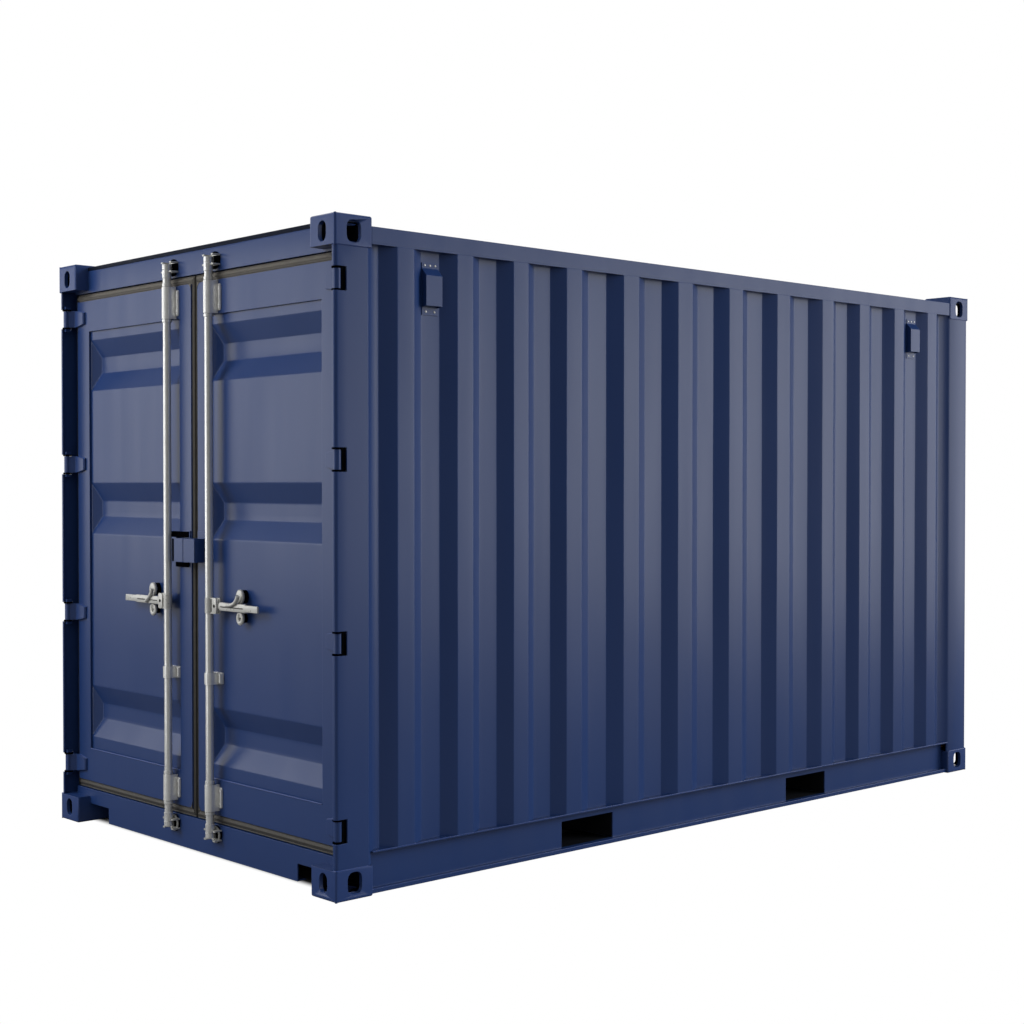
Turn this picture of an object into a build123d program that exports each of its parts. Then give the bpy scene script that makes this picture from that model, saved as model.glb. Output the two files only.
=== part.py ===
from build123d import *
import math
import os

# A short storage container of the shipping kind: a frame of posts and rails between eight
# corner castings, skinned with corrugated sheet, with two doors at one end. Each door has
# one lock rod with a cam at each end and a lever handle. All lengths are in millimetres.
# X runs across the width, Y along the length and Z up. The doors are at the low Y end.

# Overall size
LENGTH = 4300.0
WIDTH = 2167.0
HEIGHT = 2591.0

# Corner castings
CASTING_X = 162.0
CASTING_Y = 178.0
CASTING_Z = 118.0
CASTING_WALL = 18.0
CASTING_SLAB = 28.0
SLOT_LENGTH = 124.0
SLOT_WIDTH = 63.5
SIDE_HOLE_WIDE = 68.0
SIDE_HOLE_HIGH = 86.0
SIDE_HOLE_ROUND = 26.0
END_HOLE_WIDE = 51.0
END_HOLE_HIGH = 79.5
CASTING_EDGE = 9.0
CORNER_STEPS = 3
ROUND_SIDES = 16
SAME_PLACE = 0.01

# How far the frame's faces lie inside the faces of the castings
FACE_SET = 4.0
PLATE = 6.0
RAIL_PLATE = 5.0
SHEET = 2.0

# Side rails
TOP_RAIL_DROP = 37.0
TOP_RAIL_HIGH = 66.0
TOP_RAIL_WIDE = 60.0
TOP_RAIL_WALL = 4.0
RAIL_TOP = 169.0
RAIL_SHELF = 21.0
RAIL_FOOT = 5.0
RAIL_WEB_SET = 44.0
RAIL_LIP_SET = 14.0

# Corrugated walls
WAVE_DEPTH = 36.0
END_PITCH = 305.0
END_WAVES = 3
MIDDLE_WAVES = 5
FIRST_VALLEY = 4.0
CREST_PART = 0.27
SLOPE_PART = 0.21
REAR_WAVES = 5

# Posts
DOOR_POST_SIDE = 159.0
DOOR_POST_FOLD = 54.0
DOOR_POST_FLANGE = 20.0
REAR_POST_SIDE = 168.0
REAR_POST_FOLD = 50.0
REAR_POST_FLANGE = 15.0
POST_LIP = 20.0
JAMB_DEPTH = 48.0
JAMB_WIDE = 74.0
JAMB_FOLD = 15.0

# Doors
DOOR_SET = 63.0
DOOR_THICK = 50.0
DOOR_GAP = 5.0
SEAM_HALF = 6.0
GASKET_SEAM = 20.0
GASKET_HINGE = 20.0
GASKET_TOP = 37.0
GASKET_FOOT = 40.0
GASKET_BACK = 3.0
GASKET_FIN = 8.0
GASKET_GROOVE = 12.0
HINGE_EDGE = 62.5
HINGE_STILE = 108.0
LOCK_STILE = 92.0
TOP_RAIL_DOOR = 142.0
BOTTOM_RAIL_DOOR = 150.0
DOOR_WALL = 4.0
PANEL_SET = 10.0
TROUGH_DEPTH = 36.0
TROUGH_FLAT = 77.0
TROUGH_SLOPE = 83.0
TROUGH_END = 40.0
TROUGH_HEAD = 158.0
TROUGH_FOOT = 178.0
TROUGH_MIDDLE = 0.587

# Header and sill at the door end
HEADER_DROP = 26.0
HEADER_UNDER = 11.0
HEADER_DEPTH = 55.0
STOP_HIGH = 30.0
SILL_TOP = 151.0
SILL_BOTTOM = 14.0
SILL_LIP = 42.0
SILL_DEPTH = 137.0
SILL_RAMP = 20.0
NOTCH_TOP = 85.0
NOTCH_WIDE = 176.0

# Hinges
PIN_SET = 25.0
PIN_BACK = 27.0
PIN_RADIUS = 8.0
PIN_PLAY = 0.3
KNUCKLE_RADIUS = 15.0
BLADE_HIGH = 76.0
BLADE_TIP_HIGH = 52.0
BLADE_REACH = 112.0
BLADE_SHOULDER = 40.0
BLADE_THICK = 12.0
HINGE_FOOT = 265.0
HINGE_HEAD = 244.5
HINGE_SPREAD = (0.0, 0.341, 0.6735, 1.0)
SLOT_HIGH = 92.0
SLOT_DEEP = 58.0
LUG_THICK = 12.0
LUG_RADIUS = 13.0

# Lock rods
ROD_X = 165.0
ROD_BACK = 30.0
ROD_RADIUS = 17.0
ROD_WALL = 4.0
ROD_PLAY = 0.5
FIT_PLAY = 0.3
CAM_HIGH = 24.0
CAM_RADIUS = 19.5
CAM_NOSE = 24.0
CAM_NOSE_WIDE = 14.0
SOCKET_HIGH = 26.0
EAR_THICK = 6.0
EAR_GAP = 5.0
KEEPER_HALF = 42.0
KEEPER_REACH = 38.0
KEEPER_WAY = 6.0
TOP_CAM_DROP = 85.0
BOTTOM_CAM_LEVEL = 110.0
GUIDE_TOP_HIGH = 135.0
GUIDE_FOOT_HIGH = 111.0
GUIDE_HALF = 46.0
GUIDE_PLATE = 4.0
GUIDE_INSET = 12.0
GUIDE_TOP_DROP = 73.5
BOTTOM_GUIDE_LEVEL = 266.5
CLAMP_HIGH = 48.0
CLAMP_HALF = 42.0
CLAMP_LEVEL = 765.0

# Handles
HANDLE_LEVEL = 1070.0
HUB_HALF_HIGH = 33.0
HUB_RADIUS = 22.0
EAR_PLATE = 6.0
PIVOT_OUT = 50.0
EAR_END = 16.0
BOLT_RADIUS = 6.0
BOLT_HEAD = 3.0
BAR_THICK = 10.0
BAR_FORWARD = 1.0
BAR_PLAY = 1.5
BAR_HIGH = 34.0
BAR_END = 357.0
BAR_GRIP = 13.0
REST_OUT_RIGHT = 208.0
REST_OUT_LEFT = 148.0
REST_BACK = 6.0
REST_LOBE = 25.0
REST_LOBE_OUT = 46.0
REST_RING = 30.0
REST_RING_HIGH = 22.5
REST_RING_OUT = 45.5
REST_HOLE = 14.0
REST_HOLE_HIGH = 10.0
REST_WAIST = 26.0

# Lock box over the seam
BOX_HALF = 88.0
BOX_HIGH = 100.0
BOX_LEVEL = 1295.0
BOX_FRONT = 5.0
BOX_WALL = 5.0
BOX_BACK = 30.0

# Floor, cross members and fork pockets
FLOOR_THICK = 28.0
FLOOR_BOARDS = 4
BOARD_GAP = 3.0
CROSS_WEB = 4.0
CROSS_FLANGE = 45.0
CROSS_CLEAR = 20.0
CROSS_END = 330.0
POCKET_WIDE = 314.0
POCKET_HIGH = 111.0
POCKET_SPACING = 1536.0
POCKET_PLATE = 5.0
STRAP_LONG = 200.0

# Roof
ROOF_RIBS = 14
RIB_RISE = 16.0
RIB_EDGE = 90.0
RIB_CREST = 90.0
RIB_SLOPE = 40.0
ROOF_EDGE = 8.0

# Vents
VENT_HIGH = 206.0
VENT_WIDE = 82.0
VENT_PROUD = 30.0
VENT_DROP = 42.0
VENT_PLATE = 3.0
VENT_FOOT = 31.0
VENT_HEAD = 22.0
VENT_SHELL = 4.0

# Places worked out from the sizes
FRONT = -LENGTH / 2
REAR = LENGTH / 2
SIDE = WIDTH / 2
POST_LOW = CASTING_Z
POST_HIGH = HEIGHT - CASTING_Z
TOP_RAIL_TOP = HEIGHT - TOP_RAIL_DROP
WALL_LOW = RAIL_TOP
WALL_HIGH = TOP_RAIL_TOP - TOP_RAIL_HIGH
RAIL_REACH = SIDE - RAIL_WEB_SET - RAIL_PLATE
DOOR_REACH = DOOR_POST_SIDE + DOOR_POST_FOLD + DOOR_POST_FLANGE
REAR_REACH = REAR_POST_SIDE + REAR_POST_FOLD + REAR_POST_FLANGE
DOOR_FACE = FRONT + DOOR_SET
DOOR_BACK = DOOR_FACE + DOOR_THICK
JAMB_FACE = DOOR_BACK + DOOR_GAP
JAMB_IN = SIDE - FACE_SET - JAMB_WIDE
HEADER_TOP = HEIGHT - HEADER_DROP
HEADER_BOTTOM = POST_HIGH - HEADER_UNDER
DOOR_TOP = HEADER_BOTTOM - GASKET_TOP
DOOR_BOTTOM = SILL_TOP + GASKET_FOOT
PANEL_LOW = DOOR_BOTTOM + BOTTOM_RAIL_DOOR
PANEL_HIGH = DOOR_TOP - TOP_RAIL_DOOR
HINGE_SIDE = SIDE - HINGE_EDGE
LOCK_SIDE = SEAM_HALF + GASKET_SEAM
PIN_X = SIDE - PIN_SET
PIN_Y = FRONT + PIN_BACK
ROD_Y = FRONT + ROD_BACK
BAR_BACK = ROD_Y - BAR_FORWARD
BAR_FRONT = BAR_BACK - BAR_THICK
PIVOT_X = ROD_X + PIVOT_OUT
TOP_CAM_LEVEL = HEIGHT - TOP_CAM_DROP
TOP_GUIDE_LEVEL = DOOR_TOP - GUIDE_TOP_DROP
POCKET_TOP = RAIL_SHELF + POCKET_HIGH
FLOOR_UNDER = POCKET_TOP + POCKET_PLATE
FLOOR_TOP = FLOOR_UNDER + FLOOR_THICK


def block(x0, x1, y0, y1, z0, z1):
    """A rectangular solid between two opposite corners."""
    size = Box(x1 - x0, y1 - y0, z1 - z0)
    return Pos((x0 + x1) / 2, (y0 + y1) / 2, (z0 + z1) / 2) * size


def section(outline):
    """An outline, given as a list of points or as a ready face, as a face."""
    return make_face(Polyline(outline, close=True)) if isinstance(outline, list) else outline


def upright(outline, low, high):
    """An outline in X and Y raised from one level to another."""
    return extrude(Pos(0, 0, low) * section(outline), high - low)


def along_x(outline, start, end):
    """An outline in Y and Z carried along X."""
    return extrude(Plane.YZ.offset(start) * section(outline), end - start)


def along_y(outline, start, end):
    """An outline in X and Z carried along Y."""
    return extrude(Plane.XZ.offset(-end) * section(outline), end - start)


def beside(path, distance):
    """The same path moved to its left, with its corners mitred."""
    def normal(a, b):
        run = math.hypot(b[0] - a[0], b[1] - a[1])
        return (-(b[1] - a[1]) / run, (b[0] - a[0]) / run)

    normals = [normal(a, b) for a, b in zip(path, path[1:])]
    moved = []
    for i, point in enumerate(path):
        before = normals[max(i - 1, 0)]
        after = normals[min(i, len(normals) - 1)]
        share = 1 + before[0] * after[0] + before[1] * after[1]
        moved.append((
            point[0] + distance * (before[0] + after[0]) / share,
            point[1] + distance * (before[1] + after[1]) / share,
        ))
    return moved


def folded(path, thickness):
    """The section of a folded plate, to the left of a path, or the right if the thickness is negative."""
    return section(path + beside(path, thickness)[::-1])


def tube(a0, a1, b0, b1, wall):
    """The section of a rectangular tube."""
    wide, high = a1 - a0, b1 - b0
    hollow = Rectangle(wide - 2 * wall, high - 2 * wall)
    return Pos((a0 + a1) / 2, (b0 + b1) / 2) * (Rectangle(wide, high) - hollow)


def oval(half_wide, half_high, hole=False):
    """A round or oval face drawn with a few straight sides: inside its line, or around it for a hole."""
    grow = 1 / math.cos(math.pi / ROUND_SIDES) if hole else 1.0
    turns = [2 * math.pi * i / ROUND_SIDES for i in range(ROUND_SIDES)]
    return section([
        (half_wide * grow * math.cos(turn), half_high * grow * math.sin(turn)) for turn in turns
    ])


def soft_corners(wide, high, radius):
    """A rectangle with each corner rounded off in a few straight steps."""
    points = []
    for quarter, (side_x, side_y) in enumerate(((1, 1), (-1, 1), (-1, -1), (1, -1))):
        x, y = side_x * (wide / 2 - radius), side_y * (high / 2 - radius)
        for step in range(CORNER_STEPS + 1):
            turn = math.pi / 2 * (quarter + step / CORNER_STEPS)
            point = (x + radius * math.cos(turn), y + radius * math.sin(turn))
            if not points or math.dist(point, points[-1]) > SAME_PLACE:
                points.append(point)
    return section(points)


def post_at(x, y, radius, low, high):
    """An upright round bar."""
    return Pos(x, y, (low + high) / 2) * Cylinder(radius, high - low)


def collar_at(x, y, radius, low, high, hole=False):
    """An upright bar with straight sides in place of its round."""
    return extrude(Pos(x, y, low) * oval(radius, radius, hole), high - low)


def bolt_at(x, y0, y1, z, radius):
    """A round bar along Y."""
    return Pos(x, (y0 + y1) / 2, z) * Rot(90, 0, 0) * Cylinder(radius, y1 - y0)


def mirrored(shape):
    """The same piece on the other side of the middle plane."""
    return mirror(shape, about=Plane.YZ)


def casting():
    """One corner casting, for the right of the door end at the bottom: a thick hollow box."""
    body = block(SIDE - CASTING_X, SIDE, FRONT, FRONT + CASTING_Y, 0, CASTING_Z)
    outer = body.edges().filter_by(Axis.Z).sort_by(Axis.X)[-2:].sort_by(Axis.Y)[:1]
    body = fillet(outer, CASTING_EDGE)
    hollow = block(
        SIDE - CASTING_X + CASTING_WALL, SIDE - CASTING_WALL,
        FRONT + CASTING_WALL, FRONT + CASTING_Y - CASTING_WALL,
        CASTING_SLAB, CASTING_Z - CASTING_WALL,
    )
    middle_x = SIDE - CASTING_X / 2
    middle_y = FRONT + CASTING_Y / 2
    middle_z = (CASTING_SLAB + CASTING_Z - CASTING_WALL) / 2
    slot = extrude(soft_corners(SLOT_WIDTH, SLOT_LENGTH, SLOT_WIDTH / 2), CASTING_SLAB)
    side_face = Plane((SIDE, middle_y, middle_z), x_dir=(0, 1, 0), z_dir=(1, 0, 0))
    side_hole = side_face * soft_corners(SIDE_HOLE_WIDE, SIDE_HOLE_HIGH, SIDE_HOLE_ROUND)
    end_face = Plane((middle_x, FRONT, middle_z), x_dir=(1, 0, 0), z_dir=(0, -1, 0))
    end_hole = end_face * soft_corners(END_HOLE_WIDE, END_HOLE_HIGH, END_HOLE_WIDE / 2)
    body = body - hollow
    body = body - Pos(middle_x, middle_y, 0) * slot
    body = body - extrude(side_hole, -CASTING_WALL - 1)
    return body - extrude(end_hole, -CASTING_WALL - 1)


def castings():
    """The eight castings: four below and, turned over, four above."""
    door_end = [casting(), mirrored(casting())]
    low = door_end + [mirror(one, about=Plane.XZ) for one in door_end]
    middle = Plane((0, 0, HEIGHT / 2), z_dir=(0, 0, 1))
    return low, [mirror(one, about=middle) for one in low]


def between_castings(post, reach):
    """Cuts a door end post clear of the casting over it and of the rails beside its foot."""
    beyond_y = FRONT + CASTING_Y
    beyond_x = SIDE - CASTING_X
    far_y = FRONT + reach + CASTING_Y
    far_x = SIDE - reach - CASTING_X
    post = post - block(beyond_x, SIDE, FRONT, beyond_y, POST_HIGH, WALL_HIGH)
    post = post - block(far_x, SIDE, beyond_y, far_y, POST_LOW, RAIL_TOP)
    return post - block(far_x, beyond_x, FRONT, far_y, POST_LOW, RAIL_TOP)


def hinge_levels():
    """The middles of the four hinges, from the foot up."""
    span = HEIGHT - HINGE_HEAD - HINGE_FOOT
    return [HINGE_FOOT + share * span for share in HINGE_SPREAD]


def door_post():
    """The right door post: a folded side plate with a front lip, and the jamb behind the door."""
    side = SIDE - FACE_SET
    front = FRONT + FACE_SET
    inner = side - WAVE_DEPTH
    fold = FRONT + DOOR_POST_SIDE + DOOR_POST_FOLD
    end = FRONT + DOOR_REACH
    outer_path = [
        (side - POST_LIP, front), (side, front),
        (side, FRONT + DOOR_POST_SIDE), (inner, fold), (inner, end),
    ]
    jamb_path = [
        (side - PLATE / 2, JAMB_FACE), (JAMB_IN, JAMB_FACE), (JAMB_IN, JAMB_FACE + JAMB_DEPTH),
        (inner - PLATE, fold - JAMB_FOLD), (inner - PLATE, end),
    ]
    outer = upright(folded(outer_path, PLATE), POST_LOW, WALL_HIGH)
    jamb = upright(folded(jamb_path, -PLATE), POST_LOW, WALL_HIGH)
    post = between_castings(outer + jamb, DOOR_REACH)
    for level in hinge_levels():
        low = level - SLOT_HIGH / 2
        post = post - block(
            side - POST_LIP - 1, SIDE, FRONT, FRONT + SLOT_DEEP, low, low + SLOT_HIGH
        )
    return post


def rear_post():
    """The right rear post: one plate bent round the corner, folded in to both walls."""
    side = SIDE - FACE_SET
    front = FRONT + FACE_SET
    path = [
        (SIDE - REAR_REACH, front + WAVE_DEPTH),
        (SIDE - REAR_REACH + REAR_POST_FLANGE, front + WAVE_DEPTH),
        (SIDE - REAR_POST_SIDE, front),
        (side, front),
        (side, FRONT + REAR_POST_SIDE),
        (side - WAVE_DEPTH, FRONT + REAR_REACH - REAR_POST_FLANGE),
        (side - WAVE_DEPTH, FRONT + REAR_REACH),
    ]
    post = upright(folded(path, PLATE), POST_LOW, WALL_HIGH)
    return mirror(between_castings(post, REAR_REACH), about=Plane.XZ)


def wave_path(start, end, pitches):
    """A corrugated line as (along, out) points, with out from 0 at a valley to the wave's depth."""
    middle = (start + end - sum(pitches)) / 2
    path = [(start, 0)]
    for i in range(len(pitches) + 1):
        before = pitches[max(i - 1, 0)]
        after = pitches[min(i, len(pitches) - 1)]
        path += [
            (middle - (CREST_PART / 2 + SLOPE_PART) * before, 0),
            (middle - CREST_PART / 2 * before, WAVE_DEPTH),
            (middle + CREST_PART / 2 * after, WAVE_DEPTH),
            (middle + (CREST_PART / 2 + SLOPE_PART) * after, 0),
        ]
        middle += after if i < len(pitches) else 0
    return path + [(end, 0)]


def side_wall():
    """The right side wall: one corrugated sheet with crests near the outer face."""
    start, end = FRONT + DOOR_REACH, REAR - REAR_REACH
    wave = (CREST_PART + 2 * SLOPE_PART) * END_PITCH
    middle = (end - start - 2 * FIRST_VALLEY - wave - 2 * END_WAVES * END_PITCH) / MIDDLE_WAVES
    pitches = [END_PITCH] * END_WAVES + [middle] * MIDDLE_WAVES + [END_PITCH] * END_WAVES
    valley = SIDE - FACE_SET - WAVE_DEPTH
    path = [(valley + out, along) for along, out in wave_path(start, end, pitches)]
    return upright(folded(path, SHEET), WALL_LOW, WALL_HIGH)


def rear_wall():
    """The blind end: a corrugated sheet between the rear posts."""
    half = SIDE - REAR_REACH
    pitch = 2 * half / REAR_WAVES
    valley = REAR - FACE_SET - WAVE_DEPTH
    path = [(-along, valley + out) for along, out in wave_path(-half, half, [pitch] * (REAR_WAVES - 1))]
    return upright(folded(path, SHEET), WALL_LOW, WALL_HIGH)


def top_side_rail():
    """The right top rail: a square tube between the castings."""
    start = FRONT + CASTING_Y
    rail = tube(
        SIDE - FACE_SET - TOP_RAIL_WIDE, SIDE - FACE_SET, WALL_HIGH, TOP_RAIL_TOP, TOP_RAIL_WALL
    )
    return along_y(rail, start, -start)


def rear_top_rail():
    """The top rail of the blind end: a tube between the rear castings."""
    reach = SIDE - CASTING_X
    rail = tube(
        REAR - FACE_SET - TOP_RAIL_WIDE, REAR - FACE_SET, WALL_HIGH, TOP_RAIL_TOP, TOP_RAIL_WALL
    )
    return along_x(rail, -reach, reach)


def pocket_centres():
    """The two fork pockets' middles along the length."""
    return (-POCKET_SPACING / 2, POCKET_SPACING / 2)


def bottom_side_rail():
    """The right bottom rail: a channel open to the outside, with a lip turned down at its foot."""
    lip = SIDE - RAIL_LIP_SET - RAIL_PLATE
    path = [
        (SIDE - FACE_SET, RAIL_TOP), (RAIL_REACH, RAIL_TOP),
        (RAIL_REACH, RAIL_SHELF - RAIL_PLATE), (lip, RAIL_SHELF - RAIL_PLATE), (lip, RAIL_FOOT),
    ]
    start = FRONT + CASTING_Y
    rail = along_y(folded(path, RAIL_PLATE), start, -start)
    for y in pocket_centres():
        rail = rail - block(
            RAIL_REACH - 1, SIDE - RAIL_WEB_SET + 1, y - POCKET_WIDE / 2, y + POCKET_WIDE / 2,
            RAIL_SHELF, POCKET_TOP,
        )
    return rail


def fork_pockets():
    """Two ways right across the base: a channel over each, and a strap under each mouth."""
    low = RAIL_SHELF - POCKET_PLATE
    pockets = []
    for y in pocket_centres():
        near, far = y - POCKET_WIDE / 2, y + POCKET_WIDE / 2
        path = [(far, low), (far, POCKET_TOP), (near, POCKET_TOP), (near, low)]
        pocket = along_x(folded(path, -POCKET_PLATE), -RAIL_REACH, RAIL_REACH)
        for side in (-1, 1):
            x0, x1 = sorted((side * (RAIL_REACH - STRAP_LONG), side * RAIL_REACH))
            pocket = pocket + block(x0, x1, near, far, low, RAIL_SHELF)
        pockets.append(pocket)
    return pockets


def door_header():
    """The beam over the doors, with a strip on under the castings and a stop for the gasket."""
    reach = SIDE - CASTING_X
    beam = tube(DOOR_FACE, DOOR_FACE + HEADER_DEPTH, HEADER_BOTTOM, HEADER_TOP, PLATE)
    edge = HINGE_SIDE + GASKET_HINGE
    under = block(-edge, edge, DOOR_FACE, DOOR_BACK, HEADER_BOTTOM, POST_HIGH)
    stop = block(
        -JAMB_IN, JAMB_IN, JAMB_FACE, JAMB_FACE + PLATE, HEADER_BOTTOM - STOP_HIGH, POST_HIGH
    )
    return along_x(beam, -reach, reach) + under + stop


def door_sill():
    """The beam under the doors: a folded plate with a notch beside each casting."""
    reach = SIDE - CASTING_X
    edge = HINGE_SIDE + GASKET_HINGE
    path = [
        (DOOR_FACE + SILL_LIP, SILL_BOTTOM), (DOOR_FACE, SILL_BOTTOM), (DOOR_FACE, SILL_TOP),
        (JAMB_FACE, SILL_TOP), (JAMB_FACE + SILL_RAMP, FLOOR_TOP),
        (DOOR_FACE + SILL_DEPTH, FLOOR_TOP),
    ]
    sill = along_x(folded(path, -PLATE), -reach, reach)
    for side in (-1, 1):
        x0, x1 = sorted((side * (reach - NOTCH_WIDE), side * reach))
        sill = sill - block(x0, x1, DOOR_FACE - 1, DOOR_BACK + 1, SILL_BOTTOM - 1, NOTCH_TOP)
    front_face = [(DOOR_FACE, POST_LOW), (DOOR_FACE, SILL_TOP), (DOOR_BACK, SILL_TOP)]
    over_castings = along_x(folded(front_face, -PLATE), -edge, edge)
    tread = along_x(folded(path[2:], -PLATE), -JAMB_IN, JAMB_IN)
    return sill + over_castings + tread


def rear_sill():
    """The bottom rail of the blind end."""
    reach = SIDE - CASTING_X
    rear = REAR - FACE_SET
    path = [
        (rear - SILL_LIP, SILL_BOTTOM), (rear, SILL_BOTTOM),
        (rear, RAIL_TOP), (rear - TOP_RAIL_WIDE, RAIL_TOP),
    ]
    return along_x(folded(path, PLATE), -reach, reach)


def floor_boards():
    """Plywood boards across the floor with narrow gaps between them."""
    half = RAIL_REACH - BOARD_GAP
    start = DOOR_FACE + SILL_DEPTH + BOARD_GAP
    end = REAR - FACE_SET - TOP_RAIL_WIDE
    wide = (end - start - (FLOOR_BOARDS - 1) * BOARD_GAP) / FLOOR_BOARDS
    boards = []
    for i in range(FLOOR_BOARDS):
        low = start + i * (wide + BOARD_GAP)
        board = block(-half, half, low, low + wide, FLOOR_UNDER, FLOOR_TOP)
        for side in (-1, 1):
            x0, x1 = sorted((side * (JAMB_IN - BOARD_GAP), side * SIDE))
            board = board - block(
                x0, x1, FRONT, FRONT + DOOR_REACH + BOARD_GAP, FLOOR_UNDER, FLOOR_TOP
            )
        boards.append(board)
    return boards


def cross_members():
    """Channels across the base that carry the floor, between the fork pockets."""
    clear = POCKET_WIDE / 2 + CROSS_FLANGE + CROSS_CLEAR
    front, rear = pocket_centres()
    outer = LENGTH / 2 - CROSS_END
    between = (front - clear - outer) / 2 - CROSS_CLEAR
    places = [
        -outer, between, front - clear, front + clear, 0.0,
        rear - clear, rear + clear, -between, outer,
    ]
    members = []
    for y in places:
        path = [
            (y + CROSS_FLANGE, RAIL_SHELF), (y, RAIL_SHELF),
            (y, FLOOR_UNDER), (y + CROSS_FLANGE, FLOOR_UNDER),
        ]
        members.append(along_x(folded(path, -CROSS_WEB), -RAIL_REACH, RAIL_REACH))
    return members


def pressed(half_x, x_run, low, high, slope, y0, y1):
    """A pressed form with four sloped sides: what is common to its two sections, each carried across."""
    across = [(-half_x, y0), (half_x, y0), (half_x - x_run, y1), (x_run - half_x, y1)]
    upwards = [(y0, low), (y0, high), (y1, high - slope), (y1, low + slope)]
    return upright(across, low, high) & along_x(upwards, -half_x, half_x)


def roof_panel():
    """The roof sheet: flat at its edges, with raised ribs pressed across it."""
    half = SIDE - FACE_SET - ROOF_EDGE
    start = DOOR_FACE + HEADER_DEPTH
    end = REAR - FACE_SET - ROOF_EDGE
    low = TOP_RAIL_TOP
    roof = block(-half, half, start, end, low, low + SHEET)
    margin = CASTING_Y - DOOR_SET
    pitch = (end - start - 2 * margin) / ROOF_RIBS
    middles = [start + margin + pitch * (i + 0.5) for i in range(ROOF_RIBS)]
    for skin in (SHEET, 0):
        for y in middles:
            one = Pos(0, y, low) * Rot(90, 0, 0) * pressed(
                half - RIB_EDGE + skin, RIB_SLOPE, -RIB_CREST / 2 - RIB_SLOPE - skin,
                RIB_CREST / 2 + RIB_SLOPE + skin, RIB_SLOPE, 0, RIB_RISE + skin,
            )
            roof = roof + one if skin else roof - one
    corner = block(SIDE - CASTING_X, SIDE, FRONT, FRONT + CASTING_Y, low - 1, HEIGHT)
    for one in (corner, mirrored(corner)):
        roof = roof - one - mirror(one, about=Plane.XZ)
    return roof


def vents():
    """Hooded ventilators in the first and last outer valleys of both side walls."""
    valley = FRONT + DOOR_REACH + FIRST_VALLEY + (CREST_PART + 2 * SLOPE_PART) * END_PITCH
    near = valley + VENT_WIDE / 2 + VENT_PLATE
    skin = SIDE - FACE_SET - WAVE_DEPTH
    face = skin + VENT_PLATE
    top = WALL_HIGH - VENT_DROP
    low = top - VENT_HIGH
    hood = [
        (skin, low), (face, low), (face, low + VENT_FOOT),
        (skin + VENT_PROUD, low + VENT_FOOT + VENT_SHELL),
        (skin + VENT_PROUD, top - VENT_HEAD - VENT_PROUD), (face, top - VENT_HEAD),
        (face, top), (skin, top),
    ]
    solids = []
    for y in (near, -near):
        one = along_y(hood, y - VENT_WIDE / 2, y + VENT_WIDE / 2)
        one = one - block(
            skin, skin + VENT_PROUD - VENT_SHELL, y - VENT_WIDE / 2 + VENT_SHELL,
            y + VENT_WIDE / 2 - VENT_SHELL, low + VENT_FOOT - 1,
            top - VENT_HEAD - VENT_PROUD,
        )
        solids += [one, mirrored(one)]
    return solids


def hinge_lugs():
    """The fixed half of each hinge: a lug over and under the slot, and the pin between them."""
    side = SIDE - FACE_SET - PLATE
    corner = LUG_RADIUS / 2
    lug = [
        (side - corner, PIN_Y - LUG_RADIUS), (side, PIN_Y - corner), (side, PIN_Y + LUG_RADIUS),
        (PIN_X - LUG_RADIUS, PIN_Y + LUG_RADIUS), (PIN_X - LUG_RADIUS, PIN_Y - LUG_RADIUS),
    ]
    solids = []
    for level in hinge_levels():
        low, high = level - SLOT_HIGH / 2, level + SLOT_HIGH / 2
        one = post_at(PIN_X, PIN_Y, PIN_RADIUS, low, high)
        one = one + upright(lug, low - LUG_THICK, low) + upright(lug, high, high + LUG_THICK)
        solids += [one, mirrored(one)]
    return solids


def hinge_blades():
    """The right door's hinge blades: a knuckle on each pin and a tapered arm on the door."""
    face = DOOR_FACE - BLADE_THICK
    tip = PIN_X - BLADE_REACH
    reach = KNUCKLE_RADIUS * 2
    arm = [
        (PIN_X - KNUCKLE_RADIUS * 0.67, PIN_Y - KNUCKLE_RADIUS * 0.4),
        (PIN_X - reach - 3, face), (tip + BLADE_THICK / 2, face), (tip, face + BLADE_THICK / 2),
        (tip, DOOR_FACE), (PIN_X - reach, DOOR_FACE), (PIN_X + 3, PIN_Y + KNUCKLE_RADIUS - 1),
    ]
    solids = []
    for level in hinge_levels():
        low, high = level - BLADE_HIGH / 2, level + BLADE_HIGH / 2
        taper = (BLADE_HIGH - BLADE_TIP_HIGH) / 2
        shoulder = PIN_X - BLADE_SHOULDER
        side_view = [
            (PIN_X + reach, low), (shoulder, low), (tip, low + taper),
            (tip, high - taper), (shoulder, high), (PIN_X + reach, high),
        ]
        blade = upright(arm, low, high) + collar_at(PIN_X, PIN_Y, KNUCKLE_RADIUS, low, high)
        blade = blade & along_y(side_view, FRONT, DOOR_FACE)
        bore = post_at(PIN_X, PIN_Y, PIN_RADIUS + PIN_PLAY, low - 1, high + 1)
        solids.append(blade - bore)
    return solids


def door_frame():
    """The right door's frame: two tube stiles and two channel rails."""
    x0, x1 = LOCK_SIDE + LOCK_STILE, HINGE_SIDE - HINGE_STILE
    lock_stile = tube(LOCK_SIDE, x0, DOOR_FACE, DOOR_BACK, DOOR_WALL)
    hinge_stile = tube(x1, HINGE_SIDE, DOOR_FACE, DOOR_BACK, DOOR_WALL)
    frame = upright(lock_stile, DOOR_BOTTOM, DOOR_TOP) + upright(hinge_stile, DOOR_BOTTOM, DOOR_TOP)
    for low, high in ((DOOR_BOTTOM, PANEL_LOW), (PANEL_HIGH, DOOR_TOP)):
        path = [(DOOR_BACK, low), (DOOR_FACE, low), (DOOR_FACE, high), (DOOR_BACK, high)]
        rail = along_x(folded(path, -DOOR_WALL), x0 - DOOR_WALL, x1 + DOOR_WALL)
        frame = frame + rail
    return frame


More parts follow.
